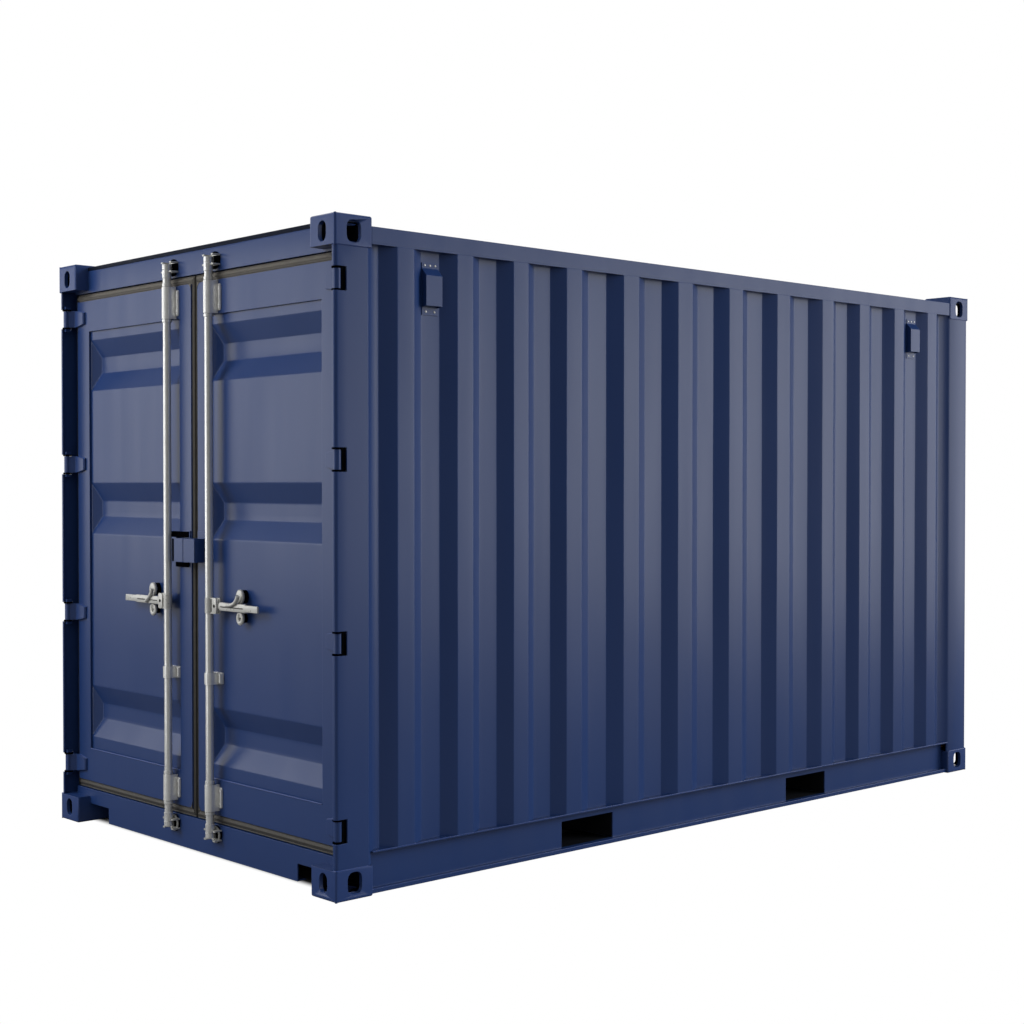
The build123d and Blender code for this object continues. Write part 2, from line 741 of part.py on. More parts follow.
def trough_levels():
    """The middles of the three troughs, from the foot up."""
    foot, head = PANEL_LOW + TROUGH_FOOT, PANEL_HIGH - TROUGH_HEAD
    return [foot, foot + TROUGH_MIDDLE * (head - foot), head]


def door_panel():
    """The right door's sheet, pressed inwards in three troughs with sloped ends."""
    x0, x1 = LOCK_SIDE + LOCK_STILE, HINGE_SIDE - HINGE_STILE
    face = DOOR_FACE + PANEL_SET
    panel = block(x0, x1, face, face + SHEET, PANEL_LOW, PANEL_HIGH)
    for skin in (SHEET, 0):
        for level in trough_levels():
            half = TROUGH_FLAT / 2 + TROUGH_SLOPE + skin
            one = Pos((x0 + x1) / 2, 0, 0) * pressed(
                (x1 - x0) / 2 - SHEET + skin / 2, TROUGH_END, level - half, level + half,
                TROUGH_SLOPE, face, face + TROUGH_DEPTH + skin,
            )
            panel = panel + one if skin else panel - one
    return panel


def gasket():
    """The right door's rubber gasket: a frame round the door leaf with a groove between two fins."""
    face, back = DOOR_FACE + GASKET_BACK, DOOR_BACK - GASKET_BACK
    x0, x1 = SEAM_HALF, HINGE_SIDE + GASKET_HINGE
    low, high = SILL_TOP + DOOR_GAP, HEADER_BOTTOM - DOOR_GAP
    outer = block(x0, x1, face, back, low, high)
    outer = outer - block(LOCK_SIDE, HINGE_SIDE, face, back, DOOR_BOTTOM, DOOR_TOP)
    ring = block(x0, x1, face + GASKET_FIN, back - GASKET_FIN, low, high)
    keep = block(
        x0 + GASKET_GROOVE, x1 - GASKET_GROOVE, face, back,
        low + GASKET_GROOVE, high - GASKET_GROOVE,
    )
    return outer - (ring - keep)


def rod_guide(level, high, half, inset):
    """One bracket over the right lock rod: two flanges on the door and an arch."""
    low = level - high / 2
    inner = ROD_RADIUS + ROD_PLAY
    outer = inner + GUIDE_PLATE
    arch = Pos(ROD_X, ROD_Y) * oval(outer, outer)
    arch = arch + Pos(ROD_X, (ROD_Y + DOOR_FACE) / 2) * Rectangle(2 * outer, DOOR_FACE - ROD_Y)
    way = Pos(ROD_X, ROD_Y) * Circle(inner)
    way = way + Pos(ROD_X, (ROD_Y + DOOR_FACE) / 2) * Rectangle(2 * inner, DOOR_FACE - ROD_Y)
    flanges = block(
        ROD_X - half, ROD_X + half, DOOR_FACE - GUIDE_PLATE, DOOR_FACE,
        low + inset, low + high - inset,
    )
    return extrude(Pos(0, 0, low) * arch, high) + flanges - extrude(Pos(0, 0, low) * way, high)


def rod_guides():
    """The right rod's brackets: a tall one near each end and a small one lower down."""
    pad = block(
        ROD_X - CLAMP_HALF, ROD_X + CLAMP_HALF, DOOR_FACE, DOOR_FACE + PANEL_SET,
        CLAMP_LEVEL - CLAMP_HIGH / 2, CLAMP_LEVEL + CLAMP_HIGH / 2,
    )
    return [
        rod_guide(TOP_GUIDE_LEVEL, GUIDE_TOP_HIGH, GUIDE_HALF, GUIDE_INSET),
        rod_guide(BOTTOM_GUIDE_LEVEL, GUIDE_FOOT_HIGH, GUIDE_HALF, GUIDE_INSET),
        rod_guide(CLAMP_LEVEL, CLAMP_HIGH, CLAMP_HALF, 0) + pad,
    ]


def lock_rod():
    """The right lock rod: a plain pipe from cam to cam."""
    low = BOTTOM_CAM_LEVEL + CAM_HIGH / 2
    high = TOP_CAM_LEVEL - CAM_HIGH / 2
    pipe = Circle(ROD_RADIUS) - oval(ROD_RADIUS - ROD_WALL, ROD_RADIUS - ROD_WALL)
    return extrude(Pos(ROD_X, ROD_Y, low) * pipe, high - low)


def lock_cams():
    """The right rod's two cams, each with a nose towards the door and a socket round the pipe."""
    nose = [
        (ROD_X - CAM_RADIUS + 1, ROD_Y), (ROD_X - CAM_NOSE_WIDE / 2, ROD_Y + CAM_NOSE),
        (ROD_X + CAM_NOSE_WIDE / 2, ROD_Y + CAM_NOSE), (ROD_X + CAM_RADIUS - 1, ROD_Y),
    ]
    solids = []
    for level, way in ((BOTTOM_CAM_LEVEL, 1), (TOP_CAM_LEVEL, -1)):
        low, high = level - CAM_HIGH / 2, level + CAM_HIGH / 2
        near = level + way * CAM_HIGH / 2
        z0, z1 = sorted((near, near + way * (EAR_GAP + EAR_THICK + SOCKET_HIGH)))
        cam = collar_at(ROD_X, ROD_Y, CAM_RADIUS, low, high) + upright(nose, low, high)
        socket = collar_at(ROD_X, ROD_Y, CAM_RADIUS, z0, z1)
        solids.append(cam + socket - collar_at(ROD_X, ROD_Y, ROD_RADIUS + FIT_PLAY, z0, z1, True))
    return solids


def handle_hub():
    """The right rod's hub: a collar with two ears and the bolt that the handle turns on."""
    low, high = HANDLE_LEVEL - HUB_HALF_HIGH, HANDLE_LEVEL + HUB_HALF_HIGH
    hub = collar_at(ROD_X, ROD_Y, HUB_RADIUS, low, high)
    outline = [
        (ROD_X, low), (PIVOT_X, low), (PIVOT_X + EAR_END, low + EAR_END),
        (PIVOT_X + EAR_END, high - EAR_END), (PIVOT_X, high), (ROD_X, high),
    ]
    front_ear = BAR_FRONT - BAR_PLAY - EAR_PLATE
    back_ear = BAR_BACK + BAR_PLAY
    hub = hub + along_y(outline, front_ear, front_ear + EAR_PLATE)
    hub = hub + along_y(outline, back_ear, back_ear + EAR_PLATE)
    hub = hub + bolt_at(
        PIVOT_X, front_ear - BOLT_HEAD, back_ear + EAR_PLATE, HANDLE_LEVEL, BOLT_RADIUS
    )
    return hub - collar_at(ROD_X, ROD_Y, ROD_RADIUS + FIT_PLAY, low, high, True)


def handle():
    """The right handle: a flat bar on the hub's bolt, with a narrower grip at its end."""
    start, tip = PIVOT_X - BAR_HIGH / 2, ROD_X + BAR_END
    bar = Pos((start + tip) / 2, HANDLE_LEVEL) * soft_corners(tip - start, BAR_HIGH, BAR_GRIP)
    bar = along_y(bar, BAR_FRONT, BAR_BACK)
    return bar - bolt_at(PIVOT_X, BAR_FRONT - 1, BAR_BACK + 1, HANDLE_LEVEL, BOLT_RADIUS + PIN_PLAY)


def handle_rest(out):
    """The right handle's rest: a plate with a round lobe over the bar and a ring under it."""
    x = ROD_X + out
    lobe = Pos(x, HANDLE_LEVEL + REST_LOBE_OUT) * oval(REST_LOBE, REST_LOBE)
    ring_at = Pos(x, HANDLE_LEVEL - REST_RING_OUT)
    ring = ring_at * oval(REST_RING, REST_RING_HIGH)
    waist = Pos(x, HANDLE_LEVEL) * Rectangle(REST_WAIST, REST_LOBE_OUT + REST_RING_OUT)
    hole = ring_at * oval(REST_HOLE, REST_HOLE_HIGH)
    return along_y(lobe + waist + ring - hole, BAR_BACK + REST_BACK, DOOR_FACE + PANEL_SET)


def lock_box_half():
    """The right half of the lock box: a hood open underneath, over the door's edge."""
    low, high = BOX_LEVEL - BOX_HIGH / 2, BOX_LEVEL + BOX_HIGH / 2
    face = FRONT + BOX_FRONT
    body = block(DOOR_GAP / 2, BOX_HALF, face, DOOR_FACE, low, high)
    hollow = block(
        DOOR_GAP / 2, BOX_HALF - BOX_WALL, face + BOX_WALL, DOOR_FACE, low, high - BOX_WALL
    )
    back = block(
        LOCK_SIDE + BOX_WALL, BOX_HALF, DOOR_FACE - BOX_WALL, DOOR_FACE, low, high + BOX_BACK
    )
    return body - hollow + back


def keeper(level):
    """One cam keeper on the header or the sill: a plate with a notched ear above and below the cam."""
    inner = CAM_HIGH / 2 + EAR_GAP
    outer = inner + EAR_THICK
    x0, x1 = ROD_X - KEEPER_HALF, ROD_X + KEEPER_HALF
    one = block(x0, x1, DOOR_FACE - EAR_THICK / 2, DOOR_FACE, level - outer, level + outer)
    for low, high in ((level - outer, level - inner), (level + inner, level + outer)):
        one = one + block(x0, x1, DOOR_FACE - KEEPER_REACH, DOOR_FACE, low, high)
    way = CAM_RADIUS + KEEPER_WAY
    notch = block(ROD_X - way, ROD_X + way, FRONT, ROD_Y + way, level - outer, level + outer)
    return one - notch


def cam_keepers():
    """All four cam keepers."""
    right = [keeper(TOP_CAM_LEVEL), keeper(BOTTOM_CAM_LEVEL)]
    return right + [mirrored(one) for one in right]


def save(name, shape):
    """Writes one node."""
    solids = shape if isinstance(shape, list) else [shape]
    flat = []
    for one in solids:
        flat += one.solids()
    whole = flat[0] if len(flat) == 1 else Compound(children=flat)
    export_step(whole, f"parts/{name}.step")
    print(name, len(flat), round(whole.volume))


def both(name, shape):
    """Writes the right piece and its mirror image on the left."""
    solids = shape if isinstance(shape, list) else [shape]
    save(f"{name}_right", solids)
    save(f"{name}_left", [mirrored(one) for one in solids])


def main():
    os.makedirs("parts", exist_ok=True)
    low_castings, high_castings = castings()
    save("castings_bottom", low_castings)
    save("castings_top", high_castings)
    both("door_post", door_post())
    both("rear_post", rear_post())
    both("top_side_rail", top_side_rail())
    both("bottom_side_rail", bottom_side_rail())
    both("side_wall", side_wall())
    save("rear_wall", rear_wall())
    save("rear_top_rail", rear_top_rail())
    save("rear_sill", rear_sill())
    save("door_header", door_header())
    save("door_sill", door_sill())
    save("fork_pockets", fork_pockets())
    save("cross_members", cross_members())
    save("floor_boards", floor_boards())
    save("roof_panel", roof_panel())
    save("vents", vents())
    save("hinge_lugs", hinge_lugs())
    save("cam_keepers", cam_keepers())
    both("door_frame", door_frame())
    both("door_panel", door_panel())
    both("door_gasket", gasket())
    both("hinge_blades", hinge_blades())
    both("rod_guides", rod_guides())
    both("lock_rod", lock_rod())
    both("lock_cams", lock_cams())
    both("handle_hub", handle_hub())
    both("handle", handle())
    save("handle_rest_right", handle_rest(REST_OUT_RIGHT))
    save("handle_rest_left", mirrored(handle_rest(REST_OUT_LEFT)))
    both("lock_box", lock_box_half())


main()
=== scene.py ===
# %% [markdown]
# # Dressing a short storage container
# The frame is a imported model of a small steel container: posts, rails, castings, walls and
# two doors on hinges. Here every surface gets its finish, and the sheet metal, the rubber and
# the locking gear are made again as fine surfaces. The file is read from the top, one step a
# cell, and each step says what it makes on the real thing and why it is made this way.

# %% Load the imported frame
import math

import bmesh
import bpy
import numpy as np
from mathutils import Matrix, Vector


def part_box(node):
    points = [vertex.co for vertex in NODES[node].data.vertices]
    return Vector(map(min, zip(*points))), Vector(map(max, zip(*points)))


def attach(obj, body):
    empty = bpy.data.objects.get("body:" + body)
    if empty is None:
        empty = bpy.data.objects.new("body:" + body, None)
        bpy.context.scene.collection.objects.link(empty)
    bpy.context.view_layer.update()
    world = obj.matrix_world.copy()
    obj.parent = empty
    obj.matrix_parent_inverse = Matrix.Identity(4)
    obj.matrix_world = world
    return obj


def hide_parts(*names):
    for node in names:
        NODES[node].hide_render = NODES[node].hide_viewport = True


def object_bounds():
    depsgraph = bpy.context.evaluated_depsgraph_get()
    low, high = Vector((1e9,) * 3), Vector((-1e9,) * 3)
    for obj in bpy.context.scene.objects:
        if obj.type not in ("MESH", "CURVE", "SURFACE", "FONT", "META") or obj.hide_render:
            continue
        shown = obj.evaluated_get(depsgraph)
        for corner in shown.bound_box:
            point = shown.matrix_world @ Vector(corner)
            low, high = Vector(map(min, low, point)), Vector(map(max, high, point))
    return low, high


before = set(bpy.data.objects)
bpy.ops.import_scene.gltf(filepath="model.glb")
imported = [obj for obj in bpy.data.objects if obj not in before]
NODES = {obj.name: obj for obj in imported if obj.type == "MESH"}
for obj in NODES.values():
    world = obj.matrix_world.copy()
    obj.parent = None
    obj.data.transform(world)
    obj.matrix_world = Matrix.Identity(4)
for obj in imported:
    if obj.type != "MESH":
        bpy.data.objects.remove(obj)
CAD_BOX = [list(corner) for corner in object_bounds()]
LOW, HIGH = np.array(CAD_BOX)
MM = 0.001


def mm(*lengths):
    """Lengths given in millimetres, in metres."""
    return tuple(length * MM for length in lengths)


print("nodes:", len(NODES), "box:", CAD_BOX)


def box(node):
    """The lowest and highest corners of a CAD node, as arrays in metres."""
    low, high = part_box(node)
    return np.array(low), np.array(high)


# %% [markdown]
# ## From arrays to a mesh
# A surface is worked out as a whole array of points. Most pieces here are a stack of like
# outlines, so one function joins each outline to the next with four-cornered faces and closes
# both ends. A second one puts any number of such skins into one mesh, welds the seams, turns
# the faces outwards and lets only real corners stay sharp.

# %% Skins and pieces
def skin(rings, round_trip=False):
    """The skin over a stack of like outlines, as points, four-cornered faces and end faces.

    Point j of ring i is joined to point j + 1 and to the same two points of ring i + 1.
    """
    count, size = rings.shape[:2]
    i = np.arange(count if round_trip else count - 1)[:, None]
    j = np.arange(size)[None, :]
    here, there = i * size, (i + 1) % count * size
    after = (j + 1) % size
    quads = np.stack([here + j, here + after, there + after, there + j], 2).reshape(-1, 4)
    ends = [] if round_trip else [np.arange(size)[::-1], np.arange(size) + (count - 1) * size]
    return rings.reshape(-1, 3), quads, ends


def placed(name, data):
    """A new object in the scene."""
    made = bpy.data.objects.new(name, data)
    bpy.context.scene.collection.objects.link(made)
    return made


def mirrored(skins):
    """The same skins on the other side of the middle plane: every X changes its sign."""
    return [(points * (-1, 1, 1), quads, ends) for points, quads, ends in skins]


def settled(work, name, body, look, instead_of, sharp, plane_faces=False):
    """Turns a worked mesh into an object that rides on a CAD body and may replace CAD nodes.

    A look is a material slot of the record, which is not used, and a material. Faces are
    smooth, or with plane_faces only those that turn away from all three axes are.
    """
    slot, finish = look
    bmesh.ops.recalc_face_normals(work, faces=work.faces)
    mesh = bpy.data.meshes.new(name)
    work.to_mesh(mesh)
    work.free()
    normals = np.empty(3 * len(mesh.polygons), np.float32)
    mesh.polygons.foreach_get("normal", normals)
    turned_away = np.abs(normals.reshape(-1, 3)).max(1) < 0.9999
    mesh.polygons.foreach_set("use_smooth", turned_away | (not plane_faces))
    mesh.set_sharp_from_angle(angle=math.radians(sharp))
    mesh.materials.append(finish)
    made = placed(name, mesh)
    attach(made, body)
    if instead_of:
        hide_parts(*instead_of)
    print(name, "faces:", len(mesh.polygons))


def piece(name, skins, body, look, instead_of=(), sharp=32):
    """Makes one object of several skins."""
    starts = np.cumsum([0] + [len(points) for points, _, _ in skins])
    points = np.concatenate([s[0] for s in skins])
    faces = np.concatenate([s[1] + start for s, start in zip(skins, starts)]).tolist()
    faces += [(end + start).tolist() for s, start in zip(skins, starts) for end in s[2]]
    mesh = bpy.data.meshes.new(name)
    mesh.from_pydata(points, [], faces)
    work = bmesh.new()
    work.from_mesh(mesh)
    bmesh.ops.remove_doubles(work, verts=work.verts, dist=0.002 * MM)
    settled(work, name, body, look, instead_of, sharp)


def both(name, skins, body, look, instead_of=(), sharp=32):
    """The right piece and its mirror image on the left, with _right and _left on every name."""
    for side, shapes in (("_right", skins), ("_left", mirrored(skins))):
        rides_on = body if body == "container" else body + side
        nodes = [node + side for node in instead_of]
        piece(name + side, shapes, rides_on, look, nodes, sharp)


# %% [markdown]
# ## Lines, bends and rounds
# Sheet metal is bent, not folded to a knife edge, and the thin light line that runs down each
# bend is half of what makes a wall look like steel. So every outline goes through one function
# that rounds its corners, and plates get a rounded rim.

# %% Outlines
def unit(vectors):
    """Each vector over its own length."""
    return vectors / np.linalg.norm(vectors, axis=-1, keepdims=True)


def on_circle(turn):
    """The points of a circle of radius one: the cosine and the sine of each angle."""
    return np.stack([np.cos(turn), np.sin(turn)], 1)


def about(middle, half):
    """The two ends of a span: its middle less and plus half its size."""
    return middle - half, middle + half


def distinct(line):
    """The line without points that repeat the one before."""
    step = np.linalg.norm(np.diff(line, axis=0), axis=1)
    return line[np.concatenate([[True], step > 0.001 * MM])]


# %% Rounded corners
def rounded(corners, radius, steps=5, closed=False):
    """The line through some corners, each one rounded by an arc.

    The arc leaves its leg before the corner by the radius times the tangent of half the turn.
    Its points are the first arm of the arc turned about the centre by even shares of the turn.
    """
    corners = np.asarray(corners, float)
    into = unit(corners - np.roll(corners, 1, axis=0))
    out = unit(np.roll(corners, -1, axis=0) - corners)
    cross = into[:, 0] * out[:, 1] - into[:, 1] * out[:, 0]
    turn = np.arctan2(cross, (into * out).sum(1))
    start = corners - into * (radius * np.tan(np.abs(turn) / 2))[:, None]
    arm = np.stack([into[:, 1], -into[:, 0]], 1) * (np.sign(turn) * radius)[:, None]
    angle = turn[:, None] * np.linspace(0, 1, steps)[None, :]
    cos, sin = np.cos(angle), np.sin(angle)
    swung = np.stack([cos * arm[:, :1] - sin * arm[:, 1:], sin * arm[:, :1] + cos * arm[:, 1:]], 2)
    line = (start - arm)[:, None, :] + swung
    if closed:
        return distinct(line.reshape(-1, 2))
    return distinct(np.concatenate([corners[:1], line[1:-1].reshape(-1, 2), corners[-1:]]))


# %% Finer lines, lines side by side and ovals
def finer(line, longest):
    """The same line with points added evenly, so that no leg is longer than a given length."""
    legs = np.linalg.norm(np.diff(line, axis=0), axis=1)
    along = np.concatenate([[0], np.cumsum(legs)])
    places = np.union1d(along, np.arange(0, along[-1], longest))
    return distinct(np.stack([np.interp(places, along, part) for part in line.T], 1))


def beside(line, distance, closed=False):
    """The line moved to its left: each point goes out along the sum of its two legs' normals,
    times the distance over one plus the cosine of the turn, so both legs move by the distance."""
    ahead = np.roll(line, -1, axis=0) - line
    if not closed:
        ahead[-1] = ahead[-2]
    ahead = unit(ahead)
    behind = np.roll(ahead, 1, axis=0)
    if not closed:
        behind[0] = ahead[0]
    both_ways = ahead + behind
    normal = np.stack([-both_ways[:, 1], both_ways[:, 0]], 1)
    return line + distance * normal / (1 + (ahead * behind).sum(1))[:, None]


def oval(centre, half_wide, half_high, sides=40):
    """An ellipse, counter-clockwise: its half widths times the cosine and sine of an even turn."""
    turn = np.linspace(0, 2 * math.pi, sides, endpoint=False)
    return np.asarray(centre) + on_circle(turn) * (half_wide, half_high)


# %% Solids from outlines
def carried(axis, outline, stations):
    """An outline repeated at some stations along X, Y or Z, as rings."""
    rings = np.empty((len(stations), len(outline), 3))
    rings[..., [k for k in range(3) if k != axis]] = outline
    rings[..., axis] = np.asarray(stations)[:, None]
    return rings


def bent_sheet(axis, line, thickness, stations):
    """A bent sheet: out along one face, back along the other, carried along an axis."""
    outline = np.concatenate([line, beside(line, thickness)[::-1]])
    return carried(axis, outline, stations)


# %% Plates with a rounded rim
def rimmed(outline, low, high, edge, steps=4):
    """A plate with a rounded rim, as rings of (across, up, through) points.

    On the way through, the outline is drawn in by the edge radius times one minus the sine of a
    quarter turn while the depth grows by the radius times one minus its cosine, then back again.
    """
    turn = np.linspace(0, math.pi / 2, steps)
    inset = edge * (1 - np.sin(turn))
    depth = edge * (1 - np.cos(turn))
    insets = np.concatenate([inset, inset[::-1]])
    depths = np.concatenate([low + depth, high - depth[::-1]])
    rings = np.empty((2 * steps, len(outline), 3))
    rings[..., :2] = np.stack([beside(outline, one, closed=True) for one in insets])
    rings[..., 2] = depths[:, None]
    return rings


def facing_doors(rings):
    """Turns (across, up, through) points so that through runs along Y."""
    return rings[..., [0, 2, 1]]


# %% Turned forms, loops and beads
def turned(profile, centre, axis=2, sides=24):
    """A turned form: each profile point (radius, height) becomes a circle about the axis."""
    profile, centre = np.asarray(profile, float), np.asarray(centre, float)
    others = [k for k in range(3) if k != axis]
    circle = oval((0, 0), 1, 1, sides)
    rings = np.empty((len(profile), sides, 3))
    rings[..., others] = centre[others] + profile[:, 0, None, None] * circle
    rings[..., axis] = centre[axis] + profile[:, 1, None]
    return rings


def looped(path, half_wide, half_high, sides=12):
    """A round bar along a closed flat path, as rings that come back to the start.

    Each ring is the path's point plus its normal times the cosine and the depth times the sine.
    """
    ahead = unit(np.roll(path, -1, axis=0) - np.roll(path, 1, axis=0))
    normal = np.stack([-ahead[:, 1], ahead[:, 0]], 1)
    section = oval((0, 0), half_wide, half_high, sides)
    rings = np.zeros((len(path), sides, 3))
    rings[..., :2] = path[:, None, :] + normal[:, None, :] * section[None, :, :1]
    rings[..., 2] = section[None, :, 1]
    return rings


def bead(path, size, swell=0.15, ripple=12 * MM, sides=6):
    """A weld bead: a round tube along a path, its radius swelling as the sine of the way along.

    A real bead's ripples are 1 to 2 mm apart, too fine to show here, so they are drawn 12 mm apart.
    With no swell it is a plain round bar.
    """
    path = finer(np.asarray(path, float), ripple / 4)
    way = np.concatenate([[0], np.cumsum(np.linalg.norm(np.diff(path, axis=0), axis=1))])
    ahead = unit(np.gradient(path, axis=0))
    helper = np.array([0, 0, 1.0]) if np.abs(ahead[:, 2]).max() < 0.9 else np.array([1.0, 0, 0])
    aside = unit(np.cross(ahead, helper))
    upward = np.cross(aside, ahead)
    radius = size * (1 + swell * np.sin(2 * math.pi * way / ripple))
    circle = oval((0, 0), 1, 1, sides)
    around = aside[:, None] * circle[None, :, :1] + upward[:, None] * circle[None, :, 1:]
    return path[:, None] + radius[:, None, None] * around


# %% Small forms used many times
HEAD_TURN = 1.35


def slab(outline, low, high, edge):
    """A flat piece that faces the doors, with a rounded rim."""
    return skin(facing_doors(rimmed(outline, low, high, edge)))


def plate(across, up, through, corner, edge):
    """A flat plate that faces the doors, with rounded corners and a rounded rim."""
    (x0, x1), (z0, z1) = across, up
    outline = rounded([(x0, z0), (x1, z0), (x1, z1), (x0, z1)], corner, closed=True)
    return slab(outline, *through, edge)


def round_bar(place, radius, start, end, axis=2, edge=1 * MM, sides=24):
    """A round bar from one level to another along an axis, its ends a little rounded."""
    thin = radius - edge
    profile = [(thin, start), (radius, start + edge), (radius, end - edge), (thin, end)]
    return skin(turned(profile, place, axis, sides))


def dome(place, radius, high, axis=1, way=-1, sides=14):
    """A bolt or rivet head: its radius shrinks as the cosine while it rises as the sine, up to
    a turn just short of a quarter, so that a small flat closes it."""
    turn = np.linspace(0, HEAD_TURN, 5)
    profile = np.stack([radius * np.cos(turn), way * high * np.sin(turn)], 1)
    return skin(turned(profile, place, axis, sides))


# %% [markdown]
# ## One function for colour and one for nodes
# Colours are written as on a paint card, in sRGB hex, and turned to the linear values that a
# renderer mixes with. Every node of every material is added by the same small function.

# %% Colour and nodes
MIX_A, MIX_B, MIXED = 6, 7, 2


def linear(hexed):
    """An sRGB hex colour as linear red, green, blue and alpha: the dark tones over 12.92, the
    others by the curve of power 2.4."""
    srgb = np.array([int(hexed[i:i + 2], 16) for i in (1, 3, 5)]) / 255
    dim, bright = srgb / 12.92, ((srgb + 0.055) / 1.055) ** 2.4
    return (*np.where(srgb <= 0.04045, dim, bright).tolist(), 1.0)


# %% One function for nodes
def add(tree, kind, settings=None, links=None):
    """Adds a node. Settings go to its own properties or to its sockets, a hex colour as a linear
    one. Links feed its sockets, and a node given there stands for its first output."""
    made = tree.nodes.new("ShaderNode" + kind)
    for key, value in (settings or {}).items():
        if isinstance(value, str) and value.startswith("#"):
            value = linear(value)
        if isinstance(key, str) and hasattr(made, key):
            setattr(made, key, value)
        else:
            made.inputs[key].default_value = value
    for socket, source in (links or {}).items():
        output = source.outputs[0] if isinstance(source, bpy.types.Node) else source
        tree.links.new(output, made.inputs[socket])
    return made


# %% The start and the end of a material
def blank(name):
    """An empty material, its node tree and the object's own coordinates."""
    made = bpy.data.materials.new(name)
    made.use_nodes = True
    made.node_tree.nodes.clear()
    print("finish:", name)
    return made, made.node_tree, add(made.node_tree, "TexCoord").outputs["Object"]


def finished(tree, relief, strength, depth_mm, settings, links):
    """Closes a material: a bump, fed by the relief, under one shader."""
    bump = add(tree, "Bump", {"Strength": strength, "Distance": depth_mm * MM}, relief)
    shader = add(tree, "BsdfPrincipled", settings, {**links, "Normal": bump})
    add(tree, "OutputMaterial", {}, {"Surface": shader})


# %% [markdown]
# ## The enamel
# The whole body is sprayed with a deep blue satin enamel over steel. Its own colour is very
# dark, so what the eye sees is mostly the sheen: soft, wide highlights that fade down the
# sides. The spray leaves a fine ripple and the panels drift a little in tone. Edges are painted
# a shade lighter, partly as rubbed wear and partly as a painted highlight. A bevel node rounds
# the knife edges of the plain CAD plates. The insides of the castings are painted black, as a
# painted shade.

# %% Painted shade inside the castings
POCKET_LEVEL = float(HIGH[2]) / 2
POCKET_HALF = mm(64, 72, 37)
POCKET_MIDDLE = (np.array([*HIGH[:2], POCKET_LEVEL]) - mm(81, 89, 64)).tolist()


def painted_cavity_shade(tree, where, colour):
    """The colour, but black inside the castings. A casting's inside is a box that is mirrored
    to all eight corners. A point lies in it where it is less than half the box's size from
    the box's middle on all axes."""
    for operation, *second in (
        ("SUBTRACT", (0, 0, POCKET_LEVEL)), ("ABSOLUTE",), ("SUBTRACT", POCKET_MIDDLE),
        ("ABSOLUTE",), ("SUBTRACT", POCKET_HALF),
    ):
        settings = {"operation": operation, **dict(enumerate(second, 1))}
        where = add(tree, "VectorMath", settings, {0: where})
    across, along, up = add(tree, "SeparateXYZ", {}, {0: where}).outputs
    widest = add(tree, "Math", {"operation": "MAXIMUM"}, {0: across, 1: along})
    widest = add(tree, "Math", {"operation": "MAXIMUM"}, {0: widest, 1: up})
    inside = add(tree, "Math", {"operation": "LESS_THAN", 1: 0.0}, {0: widest})
    # Painted shade: a point inside a casting's hollow turns near black, standing for the shade there.
    settings = {"data_type": "RGBA", MIX_B: "#04060B"}
    return add(tree, "Mix", settings, {0: inside, MIX_A: colour}).outputs[MIXED]


# %% Sprayed enamel
def sprayed_enamel(
    name, deep, light, rough, ripple_mm=14.0, ripple=0.05, edge_mm=2.5, wear_and_highlight_share=0.45, shine=0.5,
    cavity_shade=False,
):
    """Satin alkyd enamel, sprayed on steel: a dark body colour under a wide soft sheen. Where
    the rounded normal turns from the true one, an edge is painted lighter, partly as wear and
    partly as a painted highlight."""
    made, tree, where = blank(name)
    drift = {"Scale": 1.4, "Detail": 3.0, "Roughness": 0.55}
    clouds = add(tree, "TexNoise", drift, {"Vector": where})
    streaks = add(tree, "Mapping", {"Scale": (9.0, 9.0, 0.8)}, {"Vector": where})
    runs = add(tree, "TexNoise", {"Scale": 1.0, "Detail": 2.0}, {"Vector": streaks})
    peel = {"Scale": 1000 / ripple_mm, "Detail": 2.0, "Roughness": 0.6}
    orange_peel = add(tree, "TexNoise", peel, {"Vector": where})
    soft = add(tree, "Bevel", {"samples": 4, "Radius": edge_mm * MM})
    true_normal = add(tree, "NewGeometry").outputs["Normal"]
    parallel = add(tree, "VectorMath", {"operation": "DOT_PRODUCT"}, {0: soft, 1: true_normal})
    way = {1: 0.995, 2: 0.85, 3: 0.0, 4: wear_and_highlight_share}
    worn_and_lit = add(tree, "MapRange", way, {0: parallel.outputs["Value"]})
    tone = add(tree, "Mix", {"data_type": "RGBA", MIX_A: deep, MIX_B: light}, {0: clouds})
    # Painted highlight: the lighter blue on rounded edges stands partly for rubbed wear and partly
    # for the light an edge catches.
    settings = {"data_type": "RGBA", MIX_B: "#5C6C9A"}
    edge_wear_and_highlight = add(tree, "Mix", settings, {0: worn_and_lit, MIX_A: tone.outputs[MIXED]})
    colour = edge_wear_and_highlight.outputs[MIXED]
    if cavity_shade:
        colour = painted_cavity_shade(tree, where, colour)
    satin = add(tree, "MapRange", {1: 0.3, 2: 0.7, 3: rough - 0.03, 4: rough + 0.04}, {0: runs})
    finished(
        tree, {"Height": orange_peel, "Normal": soft}, ripple, 1.0,
        {"IOR": 1.5, "Specular IOR Level": shine}, {"Base Color": colour, "Roughness": satin},
    )
    return made


def dull(name, deep, light, shine):
    """A matt coat with a rough skin and no lightened edges."""
    return sprayed_enamel(name, deep, light, 0.6, 5.0, 0.3, edge_mm=1.0, wear_and_highlight_share=0.0, shine=shine)


# %% Three coats of blue
ENAMEL = "blue_paint", sprayed_enamel("sprayed_satin_enamel", "#182E5A", "#1D3463", 0.34)
CAST_ENAMEL = "blue_paint", sprayed_enamel(
    "enamel_on_cast_steel", "#1B3160", "#213869", 0.38, 9.0, 0.2, wear_and_highlight_share=0.1, cavity_shade=True
)
# Painted highlight: the weld coat is a lighter blue than the body, so the beads read as lit lines.
LIT_WELD_ENAMEL = "blue_paint", sprayed_enamel(
    "enamel_on_weld_beads_painted_lighter", "#24386A", "#2C4278", 0.30, 6.0, 0.3, edge_mm=1.0
)
